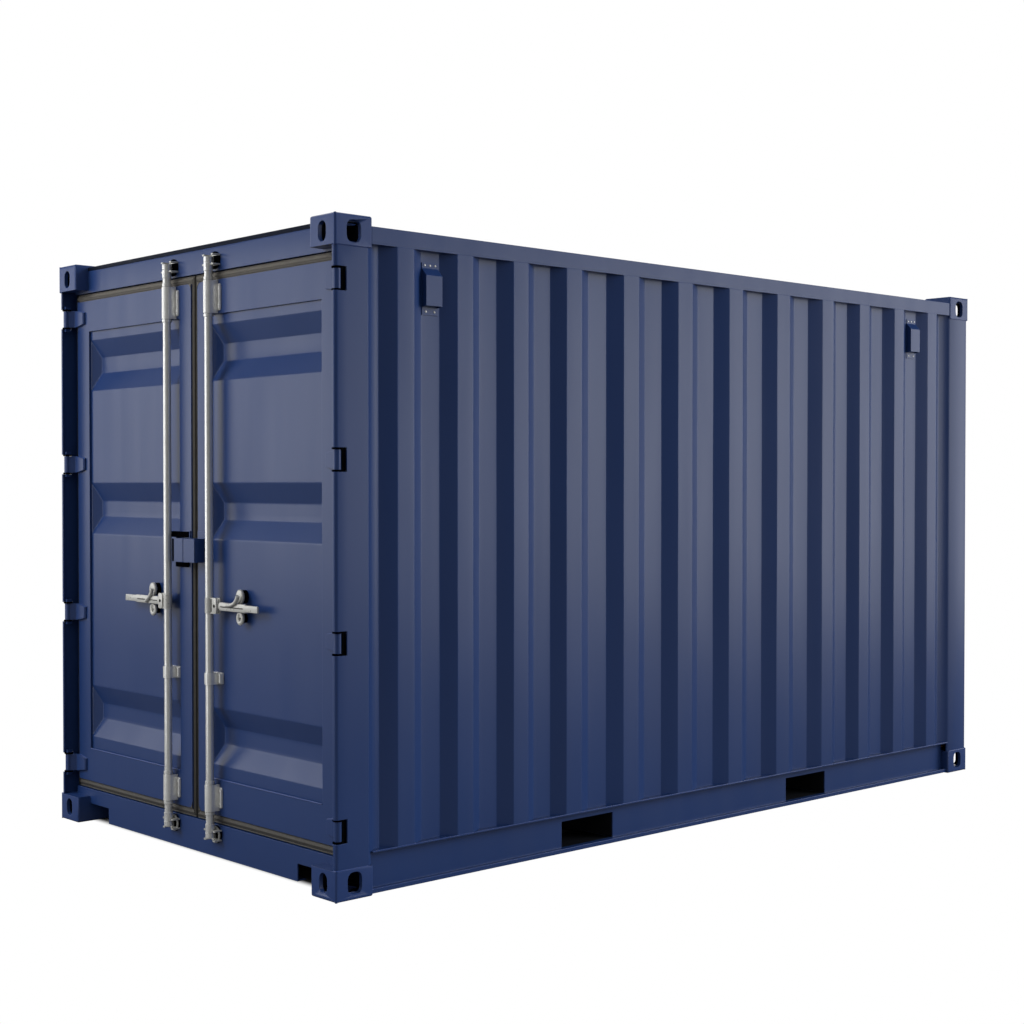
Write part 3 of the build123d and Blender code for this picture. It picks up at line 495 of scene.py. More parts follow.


# %% [markdown]
# ## Zinc, painted black shade, rubber, plywood and underseal
# The lock rods and their brackets are galvanised: hot zinc freezes in flat crystals a
# centimetre across, grey and satin. The handles and catches are zinc plated, which is bright
# and smooth. The gasket is a grey-brown rubber, matt and a little dusty. The floor is plywood
# with a worn oily face, and the underside is sealed black.

# %% Zinc and painted black shade
def galvanised_steel(name, dark, light, rough, crystal_mm, metal):
    """Zinc on steel: flat crystals that differ a little in tone and roughness. Weathered zinc
    has a pale, chalky skin, so it is only partly a metal to the eye."""
    made, tree, where = blank(name)
    crystals = add(tree, "TexVoronoi", {"Scale": 1000 / crystal_mm}, {"Vector": where})
    grey = add(tree, "SeparateColor", {}, {"Color": crystals.outputs["Color"]})
    drips = add(tree, "TexNoise", {"Scale": 22.0, "Detail": 4.0}, {"Vector": where})
    blend = add(tree, "Math", {"operation": "MULTIPLY_ADD", 1: 0.5}, {0: grey, 2: drips})
    even = add(tree, "MapRange", {1: 0.2, 2: 1.0}, {0: blend})
    tone = add(tree, "Mix", {"data_type": "RGBA", MIX_A: dark, MIX_B: light}, {0: even})
    satin = add(tree, "MapRange", {3: rough - 0.03, 4: rough + 0.05}, {0: grey})
    finished(
        tree, {"Height": drips}, 0.02, 0.3, {"Metallic": metal},
        {"Base Color": tone.outputs[MIXED], "Roughness": satin},
    )
    return made


STEEL = "galvanised_steel"
ZINC = STEEL, galvanised_steel("hot_dip_galvanised_steel", "#D6D6D3", "#E4E4E2", 0.22, 9.0, 0.45)
TUBE_ZINC = STEEL, galvanised_steel("galvanised_steel_tube", "#E2E2DF", "#ECECEA", 0.2, 9.0, 0.65)
BRIGHT_ZINC = STEEL, galvanised_steel("bright_zinc_plate", "#B0B0AC", "#B6B6B2", 0.3, 6.0, 0.35)
# Painted shade: a black coat for things that stand for shade: keeper hollows, slots, hinge washers,
# catch stubs, the handle groove and the hub bolt.
BLACK_SHADE = STEEL, dull("painted_black_shade", "#030304", "#060608", 0.0)


# %% Rubber
FOOT_SHADE = {1: 2.4, 2: 0.1, 3: 0.0, 4: 0.55}
HINGE_SLOT_SHADE = {1: 1.020, 2: 1.026}


def moulded_rubber(name, dark, light):
    """Extruded gasket rubber: matt grey-brown with a fine bloom. It is painted darker towards the
    foot, as shade, and black beside the hinges, as the shade in the hinge slots; both doors hang
    at the same distance from X = 0."""
    made, tree, where = blank(name)
    dust = {"Scale": 35.0, "Detail": 5.0, "Roughness": 0.7}
    bloom = add(tree, "TexNoise", dust, {"Vector": where})
    colour = add(tree, "Mix", {"data_type": "RGBA", MIX_A: dark, MIX_B: light}, {0: bloom})
    across, _, up = add(tree, "SeparateXYZ", {}, {0: where}).outputs
    from_middle = add(tree, "Math", {"operation": "ABSOLUTE"}, {0: across})
    # Painted shade: darker towards the foot, and black beside the hinges.
    for shade_colour, reach, place in (("#1A1A1B", FOOT_SHADE, up), ("#060708", HINGE_SLOT_SHADE, from_middle)):
        share = add(tree, "MapRange", reach, {0: place})
        links = {0: share, MIX_A: colour.outputs[MIXED]}
        colour = add(tree, "Mix", {"data_type": "RGBA", MIX_B: shade_colour}, links)
    finished(
        tree, {"Height": bloom}, 0.15, 0.5, {"Roughness": 0.62, "IOR": 1.52},
        {"Base Color": colour.outputs[MIXED]},
    )
    return made


RUBBER = "gasket_rubber", moulded_rubber("extruded_gasket_rubber", "#474440", "#625E57")
# Painted shade: a near-black coat for the strip that draws the dark line along the header's top edge.
HEADER_EDGE_SHADE = "gasket_rubber", dull("painted_shade_on_header_edge", "#0A0F1C", "#0F1626", 0.1)


# %% Plywood and underseal
def worn_plywood(name, dark, light, grain_mm):
    """Hardwood plywood for container floors: red-brown veneer, its grain running along Y."""
    made, tree, where = blank(name)
    drawn = add(tree, "Mapping", {"Scale": (1.0, 0.06, 1.0)}, {"Vector": where})
    fibres = {"Scale": 1000 / grain_mm, "Detail": 4.0, "Distortion": 0.4}
    grain = add(tree, "TexNoise", fibres, {"Vector": drawn})
    wear = {"Scale": 5.0, "Detail": 6.0, "Roughness": 0.7}
    scuffs = add(tree, "TexNoise", wear, {"Vector": where})
    tone = add(tree, "Mix", {"data_type": "RGBA", MIX_A: dark, MIX_B: light}, {0: grain})
    satin = add(tree, "MapRange", {3: 0.45, 4: 0.75}, {0: scuffs})
    finished(
        tree, {"Height": grain}, 0.2, 0.5, {"IOR": 1.5},
        {"Base Color": tone.outputs[MIXED], "Roughness": satin},
    )
    return made


PLYWOOD = worn_plywood("worn_floor_plywood", "#5A3A26", "#8A6444", 6.0)
UNDERSEAL = sprayed_enamel("bitumen_underseal", "#0B0D12", "#14161C", 0.6, 20.0, 0.5, 2.0)


# %% [markdown]
# ## The CAD pieces keep their shape
# Rails, sills, door frames, hinges and the floor are right as they are, so they only get a
# finish: enamel, but for the plywood and the sealed steel under it.

# %% Finishes for the CAD nodes
FINISH_OF = {"floor_boards": PLYWOOD, "cross_members": UNDERSEAL, "fork_pockets": UNDERSEAL}
for node, shape in NODES.items():
    shape.data.materials.clear()
    shape.data.materials.append(FINISH_OF.get(node, ENAMEL[1]))

# %% [markdown]
# ## Rounded castings, posts and header
# A corner casting is poured steel with rounded edges, and a post is folded, so its corner is a
# bend. That bend turns away from the lamps and draws the dark line down the near corner. Here
# the CAD node's own mesh is copied, its flat triangles are joined, and a bevel rounds only the
# edges that a test picks out.

# %% Softened copies of CAD nodes
SIDE, FRONT, REAR = HIGH[0], LOW[1], HIGH[1]
FACE_SET = 4 * MM
CASTING_LONG, CASTING_WIDE = mm(178, 162)
CAST_ROUND, POST_BEND, HEADER_BEND = mm(9, 13, 8)
CLOSE = 0.2 * MM


def near(values, *targets):
    """Whether both ends of an edge lie at one of some values."""
    return any(np.abs(values - target).max() < CLOSE for target in targets)


def softened(node, name, chosen, radius, look, steps=5):
    """A copy of a CAD node with its chosen edges rounded to a radius."""
    work = bmesh.new()
    work.from_mesh(NODES[node].data)
    bmesh.ops.remove_doubles(work, verts=work.verts, dist=0.01 * MM)
    bmesh.ops.dissolve_limit(
        work, angle_limit=math.radians(0.5), verts=work.verts[:], edges=work.edges[:]
    )
    ends = [np.array([vert.co for vert in edge.verts]) for edge in work.edges]
    edges = [edge for edge, pair in zip(work.edges[:], ends) if chosen(pair)]
    bmesh.ops.bevel(
        work, geom=edges, offset=radius, offset_type="OFFSET", segments=steps, profile=0.5,
        affect="EDGES", clamp_overlap=False,
    )
    print(name, "rounded edges:", len(edges))
    settled(work, name, "container", look, [node], 32, plane_faces=True)


# %% Edges to be rounded
def casting_edge(pair):
    """An outer edge of a casting: on two of its side and end planes, or on one of them and on
    the level that no post stands on."""
    across, along, up = np.abs(pair[:, 0]), np.abs(pair[:, 1]), pair[:, 2]
    on_side = near(across, SIDE, SIDE - CASTING_WIDE)
    on_end = near(along, REAR, REAR - CASTING_LONG)
    free_level = near(up, 0, HIGH[2])
    return on_side + on_end + free_level >= 2


def post_corner(pair):
    """The outer corner of a post."""
    return near(np.abs(pair[:, 0]), SIDE - FACE_SET) and near(np.abs(pair[:, 1]), REAR - FACE_SET)


# %% Castings, posts and header
for level in ("top", "bottom"):
    softened("castings_" + level, "cast_corners_" + level, casting_edge, CAST_ROUND, CAST_ENAMEL)
for end in ("door", "rear"):
    for side in ("right", "left"):
        softened(f"{end}_post_{side}", f"{end}_post_bend_{side}", post_corner, POST_BEND, ENAMEL)
header_low, header_high = box("door_header")


def header_edge(pair):
    """The upper and lower front edges of the door header."""
    levels = header_low[2], header_high[2]
    return near(pair[:, 1], header_low[1]) and near(pair[:, 2], *levels)


softened("door_header", "door_header_bend", header_edge, HEADER_BEND, ENAMEL)

# A near-black strip along the header's top edge, where the roof's front lip lies, is painted shade:
# the dark line along that edge.
between = SIDE - CASTING_WIDE - 1 * MM
header_shade_strip = plate(
    (-between, between), (header_high[2] - 3 * MM, header_high[2] + 15 * MM),
    (header_low[1] + 1 * MM, header_low[1] + 30 * MM), 1 * MM, 1 * MM,
)
piece("header_edge_shade", [header_shade_strip], "container", HEADER_EDGE_SHADE)

# %% [markdown]
# ## The corrugated walls
# A wall is one sheet 2 mm thick, pressed into trapezoid waves: a flat crest, a slope, a flat
# valley and a slope back. The path across the waves is worked out from the pitch, its corners
# are rounded, and the sheet is carried up from rail to rail. Pressed sheet is never quite
# flat, so a slow wobble of about a millimetre runs through it, which breaks the highlights.

# %% Walls
SHEET = 2 * MM
WAVE_DEPTH, WAVE_BEND, WAVE_LEG = mm(36, 9, 45)
CREST_PART, SLOPE_PART = 0.27, 0.21
END_PITCH = 305 * MM
END_WAVES, MIDDLE_WAVES, REAR_WAVES = 3, 5, 5
FIRST_VALLEY = 4 * MM
WOBBLE, FADE = 0.9 * MM, 0.3
WALL_ROWS = 44


def wobble(along, up):
    """How far a pressed sheet stands off its true plane: three slow sines that never line up."""
    u, v = 2 * math.pi * along, 2 * math.pi * up
    first = np.sin(u / 0.83 + 1.7 * np.sin(v / 1.9))
    second = np.sin(u / 0.31 + v / 2.7 + 0.6)
    third = np.sin(v / 0.61 + u / 1.3)
    return WOBBLE * (0.5 * first + 0.3 * second + 0.25 * third)


# %% Waves and walls
def wave_path(start, end, pitches):
    """A corrugated line as (along, out) corners: four for each crest, at shares of its pitch."""
    pitches = np.asarray(pitches)
    middles = (start + end - pitches.sum()) / 2 + np.concatenate([[0], np.cumsum(pitches)])
    before = np.concatenate([pitches[:1], pitches])
    after = np.concatenate([pitches, pitches[-1:]])
    top, foot = CREST_PART / 2, CREST_PART / 2 + SLOPE_PART
    along = np.stack([
        middles - foot * before, middles - top * before,
        middles + top * after, middles + foot * after,
    ], 1).ravel()
    out = np.tile([0, WAVE_DEPTH, WAVE_DEPTH, 0], len(middles))
    return np.concatenate([[[start, 0]], np.stack([along, out], 1), [[end, 0]]])


def corrugated(path, levels, crest, across):
    """A wall of one bent sheet. Across is the axis that its waves run along, 0 or 1. The wobble
    fades out at both rails, as a low power of the sine of the way up."""
    line = finer(rounded(path, WAVE_BEND), WAVE_LEG) + (0, crest - WAVE_DEPTH)
    rings = bent_sheet(2, line[:, ::-1] if across else line[::-1], SHEET, levels)
    fade = np.sin(math.pi * (rings[..., 2] - levels[0]) / (levels[-1] - levels[0])) ** FADE
    rings[..., 1 - across] += fade * wobble(rings[..., across], rings[..., 2])
    return skin(rings)


# %% Side walls and rear wall
low, high = box("side_wall_right")
levels = np.linspace(low[2], high[2], WALL_ROWS)
wave = (CREST_PART + 2 * SLOPE_PART) * END_PITCH
span = high[1] - low[1] - 2 * FIRST_VALLEY - wave - 2 * END_WAVES * END_PITCH
pitches = [END_PITCH] * END_WAVES + [span / MIDDLE_WAVES] * MIDDLE_WAVES + [END_PITCH] * END_WAVES
side_sheet = corrugated(wave_path(low[1], high[1], pitches), levels, high[0], across=1)
both("wall_sheet", [side_sheet], "container", ENAMEL, ["side_wall"])

low, high = box("rear_wall")
pitches = [(high[0] - low[0]) / REAR_WAVES] * (REAR_WAVES - 1)
rear_sheet = corrugated(wave_path(low[0], high[0], pitches), levels, high[1], across=0)
piece("wall_sheet_rear", [rear_sheet], "container", ENAMEL, ["rear_wall"])

# %% [markdown]
# ## Pressed sheets: roof and doors
# The roof has low ribs pressed upwards and each door has three troughs pressed inwards. Both
# are the same idea: a height over a flat grid. A press has rounded tools, so the ramp from
# flat to floor eases in and out instead of turning sharply.

# %% Ramps and pressed grids
def eased(t, soft):
    """A ramp from 0 to 1 with rounded ends: straight between, and a parabola over twice the
    softness round each end, which meets the straight part at the same slope."""
    def knee(t):
        return np.where(t < -soft, 0, np.where(t > soft, t, (t + soft) ** 2 / (4 * soft)))
    return knee(t) - knee(t - 1)


def pressed(across, along, height, thickness):
    """A thin pressed sheet as closed rings of (across, along, height): out over the front of
    each row and back along its rear face."""
    u, v = np.meshgrid(across, along)
    h = height(u, v)
    front = np.stack([u, v, h], 2)
    back = np.stack([u, v, h + thickness], 2)[:, ::-1]
    return np.concatenate([front, back], 1)


# %% Door skins
TROUGH_DEPTH = 36 * MM
TROUGH_FLAT, TROUGH_SLOPE, TROUGH_END = mm(77, 83, 40)
TROUGH_HEAD, TROUGH_FOOT, TROUGH_MIDDLE = 158 * MM, 178 * MM, 0.587
PRESS_SOFT = 0.035
DOOR_WOBBLE, DOOR_STRETCH = 0.4, 1.3
SHARP_PRESS = 40
panel_low, panel_high = box("door_panel_right")
foot, head = panel_low[2] + TROUGH_FOOT, panel_high[2] - TROUGH_HEAD
troughs = np.array([foot, foot + TROUGH_MIDDLE * (head - foot), head])


def trough_depth(u, v):
    """How deep a door sheet is pressed: for the nearest trough, the smaller of the two shares
    of the way down its end and down its slope, eased, times the depth."""
    to_end = np.minimum(u - panel_low[0], panel_high[0] - u) / TROUGH_END
    from_middle = np.abs(v[..., None] - troughs).min(-1)
    to_slope = (TROUGH_FLAT / 2 + TROUGH_SLOPE - from_middle) / TROUGH_SLOPE
    share = np.minimum(to_end, to_slope) - PRESS_SOFT
    sway = DOOR_WOBBLE * wobble(u * DOOR_STRETCH, v)
    return panel_low[1] + TROUGH_DEPTH * eased(share, PRESS_SOFT) + sway


# The grid is fine where the press bends the sheet and coarse where it stays flat.
END_BAND, SLOPE_BAND, FLAT_INSET = (0, 48, 17), (34, 128, 33), 80 * MM
FLAT_COLUMNS, FLAT_ROWS = 12, 50
end_lines, slope_lines = np.linspace(*END_BAND) * MM, np.linspace(*SLOPE_BAND) * MM
across = np.concatenate([
    panel_low[0] + end_lines,
    np.linspace(panel_low[0] + FLAT_INSET, panel_high[0] - FLAT_INSET, FLAT_COLUMNS),
    (panel_high[0] - end_lines)[::-1],
])
along = np.concatenate([
    np.linspace(panel_low[2], panel_high[2], FLAT_ROWS), (troughs[:, None] + slope_lines).ravel(),
    (troughs[:, None] - slope_lines).ravel(),
])
along = np.unique(along.round(5))
along = along[(along >= panel_low[2] - 1e-4) & (along <= panel_high[2] + 1e-4)]
door_skin = skin(facing_doors(pressed(across, along, trough_depth, SHEET)))
both("door_skin", [door_skin], "door", ENAMEL, ["door_panel"], SHARP_PRESS)

# %% Roof sheet
ROOF_RIBS = 14
RIB_RISE, RIB_EDGE, RIB_SLOPE, RIB_CREST = mm(16, 90, 40, 90)
ROOF_MARGIN = 115 * MM
RIB_SOFT, ROOF_WOBBLE = 0.25, 0.5
roof_low, roof_high = box("roof_panel")
rib_pitch = (roof_high[1] - roof_low[1] - 2 * ROOF_MARGIN) / ROOF_RIBS
rib_middles = roof_low[1] + ROOF_MARGIN + rib_pitch * (np.arange(ROOF_RIBS) + 0.5)


def roof_height(u, v):
    """The roof's upper face: flat, with each rib rising by the smaller of the two shares of the
    way up its end and up its flank, eased, times the rise."""
    to_end = (roof_high[0] - RIB_EDGE - np.abs(u)) / RIB_SLOPE
    from_rib = np.abs(v[..., None] - rib_middles).min(-1)
    to_flank = (RIB_CREST / 2 + RIB_SLOPE - from_rib) / RIB_SLOPE
    rise = RIB_RISE * eased(np.minimum(to_end, to_flank), RIB_SOFT)
    return roof_low[2] + SHEET + rise + ROOF_WOBBLE * wobble(u, v) * (rise / RIB_RISE)


def roof_strip(half, start, end, rows):
    """The part of the roof between two places along Y, as one closed skin."""
    shares = np.concatenate([
        np.linspace(-1, -0.8, 16), np.linspace(-0.75, 0.75, 14), np.linspace(0.8, 1, 16),
    ])
    return skin(pressed(half * shares, np.linspace(start, end, rows), roof_height, -SHEET))


front_cut, rear_cut = FRONT + CASTING_LONG, REAR - CASTING_LONG
narrow = SIDE - CASTING_WIDE
roof_skins = [
    roof_strip(narrow, roof_low[1], front_cut, 10),
    roof_strip(roof_high[0], front_cut, rear_cut, 300),
    roof_strip(narrow, rear_cut, roof_high[1], 10),
]
piece("roof_sheet", roof_skins, "container", ENAMEL, ["roof_panel"], SHARP_PRESS)

# %% [markdown]
# ## The gasket
# Each door leaf is framed by an extruded rubber seal with a raised bead along its middle and
# a thin lip on each edge. The corners are mitred, and the cut shows as a fine dark line. The
# section is one outline over the strip's width, and each strip runs from mitre to mitre.

# %% Gasket strips
GASKET_SIDE, GASKET_TOP, GASKET_FOOT = mm(20, 32, 35)
LIP, CROWN, GASKET_DEEP = mm(2.5, 6, 7)
MITRE_GAP = 0.6 * MM
CROWN_START, CROWN_HALF, CROWN_POWER, LIP_POWER = 0.12, 0.38, 0.7, 8
gasket_low, gasket_high = box("door_gasket_right")


def gasket_section(steps=36):
    """The seal's section as (share of the width from the outer edge, depth) points.

    The front is two lips, as a high power of the cosine, with a rounded bead between, as a low
    power of a half sine. The back is flat.
    """
    share = np.linspace(0, 1, steps)
    lip = LIP * np.cos(2 * math.pi * share) ** LIP_POWER
    way = (share - CROWN_START) / (2 * CROWN_HALF)
    crown = CROWN * np.clip(np.sin(math.pi * way), 0, 1) ** CROWN_POWER
    crown = np.where(np.abs(share - 0.5) < CROWN_HALF, crown, 0)
    front = gasket_low[1] + GASKET_DEEP - lip - crown
    back = np.full(3, gasket_high[1])
    return np.concatenate([share, [1, 0.5, 0]]), np.concatenate([front, back])


def gasket_skins():
    """Four mitred strips. For each share of the width, a strip runs between the points at that
    share of the way from the outer corner of the frame to its inner corner, less the gap."""
    share, depth = gasket_section()
    (x0, _, z0), (x1, _, z1) = gasket_low, gasket_high
    outer = np.array([(x0, z0), (x1, z0), (x1, z1), (x0, z1)])
    inner = outer + np.array([
        (GASKET_SIDE, GASKET_FOOT), (-GASKET_SIDE, GASKET_FOOT),
        (-GASKET_SIDE, -GASKET_TOP), (GASKET_SIDE, -GASKET_TOP),
    ])
    corners = outer[:, None] + share[None, :, None] * (inner - outer)[:, None]
    skins = []
    for start, end in zip(corners, np.roll(corners, -1, axis=0)):
        way = unit(end - start) * MITRE_GAP
        rings = np.empty((2, len(share), 3))
        rings[0][:, [0, 2]], rings[1][:, [0, 2]] = start + way, end - way
        rings[..., 1] = depth
        skins.append(skin(rings))
    return skins


both("gasket", gasket_skins(), "door", RUBBER, ["door_gasket"])

# %% [markdown]
# ## Lock rods
# Each door is held by one galvanised pipe that turns in brackets and hooks into keepers at
# both ends. The pipe is a turned form. It carries short collars above and below each bracket,
# welded on so that the rod can't slide, and a socket where the cam is fixed.

# %% Rods with collars
rod_low, rod_high = box("lock_rod_right")
frame_low, frame_high = box("door_frame_right")
ROD_X, ROD_Y = ((rod_low + rod_high) / 2)[:2]
ROD_RADIUS = (rod_high - rod_low)[0] / 2
ROD_WALL, ROD_EDGE = mm(4, 0.5)
DOOR_FACE = frame_low[1]
COLLAR_HIGH, COLLAR_PROUD, COLLAR_EDGE, COLLAR_GAP = mm(14, 3.2, 1.5, 2)
TOP_GUIDE, FOOT_GUIDE, CLAMP = mm(2351.5, 266.5, 765)
TOP_GUIDE_HIGH, FOOT_GUIDE_HIGH, CLAMP_HIGH = mm(135, 111, 48)


def collar(level):
    """A short ring on the rod with rounded edges."""
    r, h, e = ROD_RADIUS + COLLAR_PROUD, COLLAR_HIGH / 2, COLLAR_EDGE
    profile = [(ROD_RADIUS, -h), (r - e, -h), (r, e - h), (r, h - e), (r - e, h), (ROD_RADIUS, h)]
    return skin(turned(profile, (ROD_X, ROD_Y, level), sides=32))


inner, rod_long = ROD_RADIUS - ROD_WALL, rod_high[2] - rod_low[2]
pipe = [
    (inner, 0), (ROD_RADIUS - ROD_EDGE, 0), (ROD_RADIUS, ROD_EDGE),
    (ROD_RADIUS, rod_long - ROD_EDGE), (ROD_RADIUS - ROD_EDGE, rod_long), (inner, rod_long),
]
rod_skins = [skin(turned(pipe, (ROD_X, ROD_Y, rod_low[2]), sides=40), round_trip=True)]
for middle, tall in ((TOP_GUIDE, TOP_GUIDE_HIGH), (FOOT_GUIDE, FOOT_GUIDE_HIGH)):
    reach = tall / 2 + COLLAR_HIGH / 2 + COLLAR_GAP
    rod_skins += [collar(middle - reach), collar(middle + reach)]
both("lock_pipe", rod_skins, "rod", TUBE_ZINC, ["lock_rod"])

# %% [markdown]
# ## Brackets on the lock rods
# A bracket is a pressed sleeve round the rod with a flange on each side, riveted to the door.
# The flange's outer edge is rolled, which stiffens it and catches a bright line of light.

# %% Brackets
SLEEVE, SLEEVE_PLAY = mm(4, 0.5)
ROLLED_EDGE = 4.5 * MM
GUIDE_HALF, GUIDE_INSET, CLAMP_HALF = mm(46, 12, 42)
GUIDES = (
    (TOP_GUIDE, TOP_GUIDE_HIGH, GUIDE_HALF, GUIDE_INSET),
    (FOOT_GUIDE, FOOT_GUIDE_HIGH, GUIDE_HALF, GUIDE_INSET),
    (CLAMP, CLAMP_HIGH, CLAMP_HALF, 0),
)


def sleeve(level, tall):
    """A bracket's arch from above: a leg, a half circle about the rod, a leg, and back inside."""
    circle = on_circle(np.linspace(math.pi, 2 * math.pi, 25))
    inner = ROD_RADIUS + SLEEVE_PLAY
    outer, foot = inner + SLEEVE, DOOR_FACE - ROD_Y
    line = np.concatenate([
        [[-outer, foot]], outer * circle, [[outer, foot], [inner, foot]],
        inner * circle[::-1], [[-inner, foot]],
    ])
    return skin(carried(2, line + (ROD_X, ROD_Y), about(level, tall / 2)))


def flange(side, half, foot, head):
    """One flange of a bracket with its rolled edge and two rivets."""
    x0, x1 = sorted((ROD_X + side * (ROD_RADIUS + 2 * MM), ROD_X + side * half))
    front = DOOR_FACE - SLEEVE
    rivet_x, edge_x = ROD_X + side * (half - 15 * MM), ROD_X + side * (half - ROLLED_EDGE)
    rivet_levels = foot + 0.2 * (head - foot), foot + 0.8 * (head - foot)
    return [
        plate((x0, x1), (foot, head), (front, DOOR_FACE), 9 * MM, 1 * MM),
        round_bar((edge_x, front - 1.5 * MM, 0), ROLLED_EDGE, foot + 5 * MM, head - 5 * MM),
    ] + [dome((rivet_x, front, level), 6 * MM, 4 * MM) for level in rivet_levels]


# %% Three brackets on each rod
guide_skins = []
for level, tall, half, inset in GUIDES:
    foot, head = level - tall / 2 + inset, level + tall / 2 - inset
    guide_skins.append(sleeve(level, tall))
    guide_skins += flange(-1, half, foot, head) + flange(1, half, foot, head)
clamp_plate = about(ROD_X, CLAMP_HALF), about(CLAMP, CLAMP_HIGH / 2)
guide_skins.append(plate(*clamp_plate, (DOOR_FACE, DOOR_FACE + 10 * MM), 3 * MM, 1 * MM))
both("rod_bracket", guide_skins, "door", ZINC, ["rod_guides"])

# %% [markdown]
# ## Cams and keepers
# The rod ends in a forged cam, welded on by a socket. When the rod turns, the cam's nose goes
# in behind the notched ears of a keeper and pulls the door shut. Behind each keeper a black
# disc is painted shade, so each one looks like a dark hole with bright edges.

# %% Cams
TOP_CAM, BOTTOM_CAM = mm(2506, 110)
CAM_RADIUS, CAM_HALF, CAM_EDGE = mm(19.5, 12, 2)
SOCKET_REACH = 37 * MM
nose = np.array([(-18.5, 0), (18.5, 0), (7, 24), (-7, 24)]) * MM + (ROD_X, ROD_Y)
nose = rounded(nose, 3 * MM, closed=True)
cam_skins = []
for level, way in ((BOTTOM_CAM, 1), (TOP_CAM, -1)):
    socket = sorted((level + way * CAM_HALF, level + way * (CAM_HALF + SOCKET_REACH)))
    for ends in (about(level, CAM_HALF), socket):
        cam_skins.append(round_bar((ROD_X, ROD_Y, 0), CAM_RADIUS, *ends, edge=CAM_EDGE))
    cam_skins.append(skin(carried(2, nose, about(level, CAM_HALF))))
both("lock_cam", cam_skins, "rod", TUBE_ZINC, ["lock_cams"])

# %% Keepers
KEEPER_HALF, KEEPER_HIGH, KEEPER_WAY = mm(42, 37, 25.5)
EAR, EAR_GAP = mm(6, 5)
RING_RADIUS, RING_BAR = mm(31, 4.5)
SHADE_DISC_DEEP = 3 * MM
ear_front, notch_back = DOOR_FACE - 38 * MM, ROD_Y + KEEPER_WAY
half_ear = np.array([
    (KEEPER_HALF, DOOR_FACE), (KEEPER_HALF, ear_front), (KEEPER_WAY, ear_front),
    (KEEPER_WAY, notch_back),
])
ear_line = np.concatenate([half_ear[:1], half_ear * (-1, 1), half_ear[:0:-1]]) + (ROD_X, 0)
ear_line = rounded(ear_line, 3 * MM, closed=True)
keeper_skins, shade_disc_skins = [], []
for level in (TOP_CAM, BOTTOM_CAM):
    inner, outer = CAM_HALF + EAR_GAP, CAM_HALF + EAR_GAP + EAR
    for ends in ((level + inner, level + outer), (level - outer, level - inner)):
        keeper_skins.append(skin(carried(2, ear_line, ends)))
    # Painted shade: a black disc behind each keeper stands for the shade in its hollow.
    disc = oval((ROD_X, level), KEEPER_HALF, KEEPER_HIGH)
    shade_disc_skins.append(slab(disc, DOOR_FACE - SHADE_DISC_DEEP, DOOR_FACE, 1 * MM))
ring = looped(oval((ROD_X, BOTTOM_CAM), RING_RADIUS, RING_RADIUS, 36), RING_BAR, RING_BAR)
ring[..., 2] += DOOR_FACE - SHADE_DISC_DEEP - RING_BAR
keeper_skins.append(skin(facing_doors(ring), round_trip=True))
piece("keeper", keeper_skins + mirrored(keeper_skins), "container", BRIGHT_ZINC, ["cam_keepers"])
piece("keeper_shade_disc", shade_disc_skins + mirrored(shade_disc_skins), "container", BLACK_SHADE)

# %% [markdown]
# ## Handles
# The handle is a forged bar that turns up and down on a bolt through the rod's hub. It has a
# narrow neck at the hub, a long groove painted black as its shade, and a slimmer grip. The
# bolt's head is painted black as the shade of its hole. At rest the bar lies in a plated catch
# on the door: a lobe above the bar and a ring under it for a seal, with a finger of the bar
# hooked under the lobe; the stubs behind the catch are painted black as its shadow.

# %% Hubs and bars
HANDLE = 1070 * MM
PIVOT_X, PIVOT_RADIUS = mm(215, 6)
BAR_FRONT, BAR_BACK, BAR_PLAY = mm(-2123, -2113, 1.5)
HUB_HALF, HUB_START, HUB_END, HUB_EDGE = mm(33, 198, 231, 1.2)
EAR_PLATE, WEB_HALF = mm(5, 3)
NECK_END, GRIP_START, HANDLE_TIP = 240, 434, 522
up = about(HANDLE, HUB_HALF)
front_ear, back_ear = BAR_FRONT - BAR_PLAY, BAR_BACK + BAR_PLAY
ends = front_ear - EAR_PLATE, back_ear + EAR_PLATE
hub_skins = [
    round_bar((ROD_X, ROD_Y, 0), ROD_RADIUS + 1.5 * MM, *up, edge=HUB_EDGE, sides=32),
    plate((HUB_START, HUB_END), up, (ends[0], front_ear), 8 * MM, HUB_EDGE),
    plate((ROD_X + 8 * MM, HUB_END), up, (back_ear, ends[1]), 8 * MM, HUB_EDGE),
    round_bar((PIVOT_X, 0, HANDLE), PIVOT_RADIUS, *ends, axis=1),
]
for z in (up[0] + WEB_HALF, up[1] - WEB_HALF):
    web = (ROD_X + 12 * MM, 206 * MM), about(z, WEB_HALF), (front_ear - 2 * MM, back_ear)
    hub_skins.append(plate(*web, 1 * MM, 0.8 * MM))
both("handle_hub", hub_skins, "rod", BRIGHT_ZINC, ["handle_hub"])
# Painted shade: the bolt head is black, standing for the shade of the hole it sits in.
both("hub_bolt_painted_black", [dome((PIVOT_X, ends[0], HANDLE), 7 * MM, 2.5 * MM)], "rod", BLACK_SHADE)

# %% Bars with their fingers
half_outline = np.array([
    (198, 9), (NECK_END - 4, 9), (NECK_END + 6, 17), (GRIP_START - 6, 17), (GRIP_START, 14),
    (HANDLE_TIP, 14),
]) * MM
bar_outline = np.concatenate([half_outline * (1, -1), half_outline[::-1]]) + (0, HANDLE)
bar_outline = rounded(bar_outline, 3 * MM, closed=True)
bar_skins = [slab(bar_outline, BAR_FRONT, BAR_BACK, 2.5 * MM)]
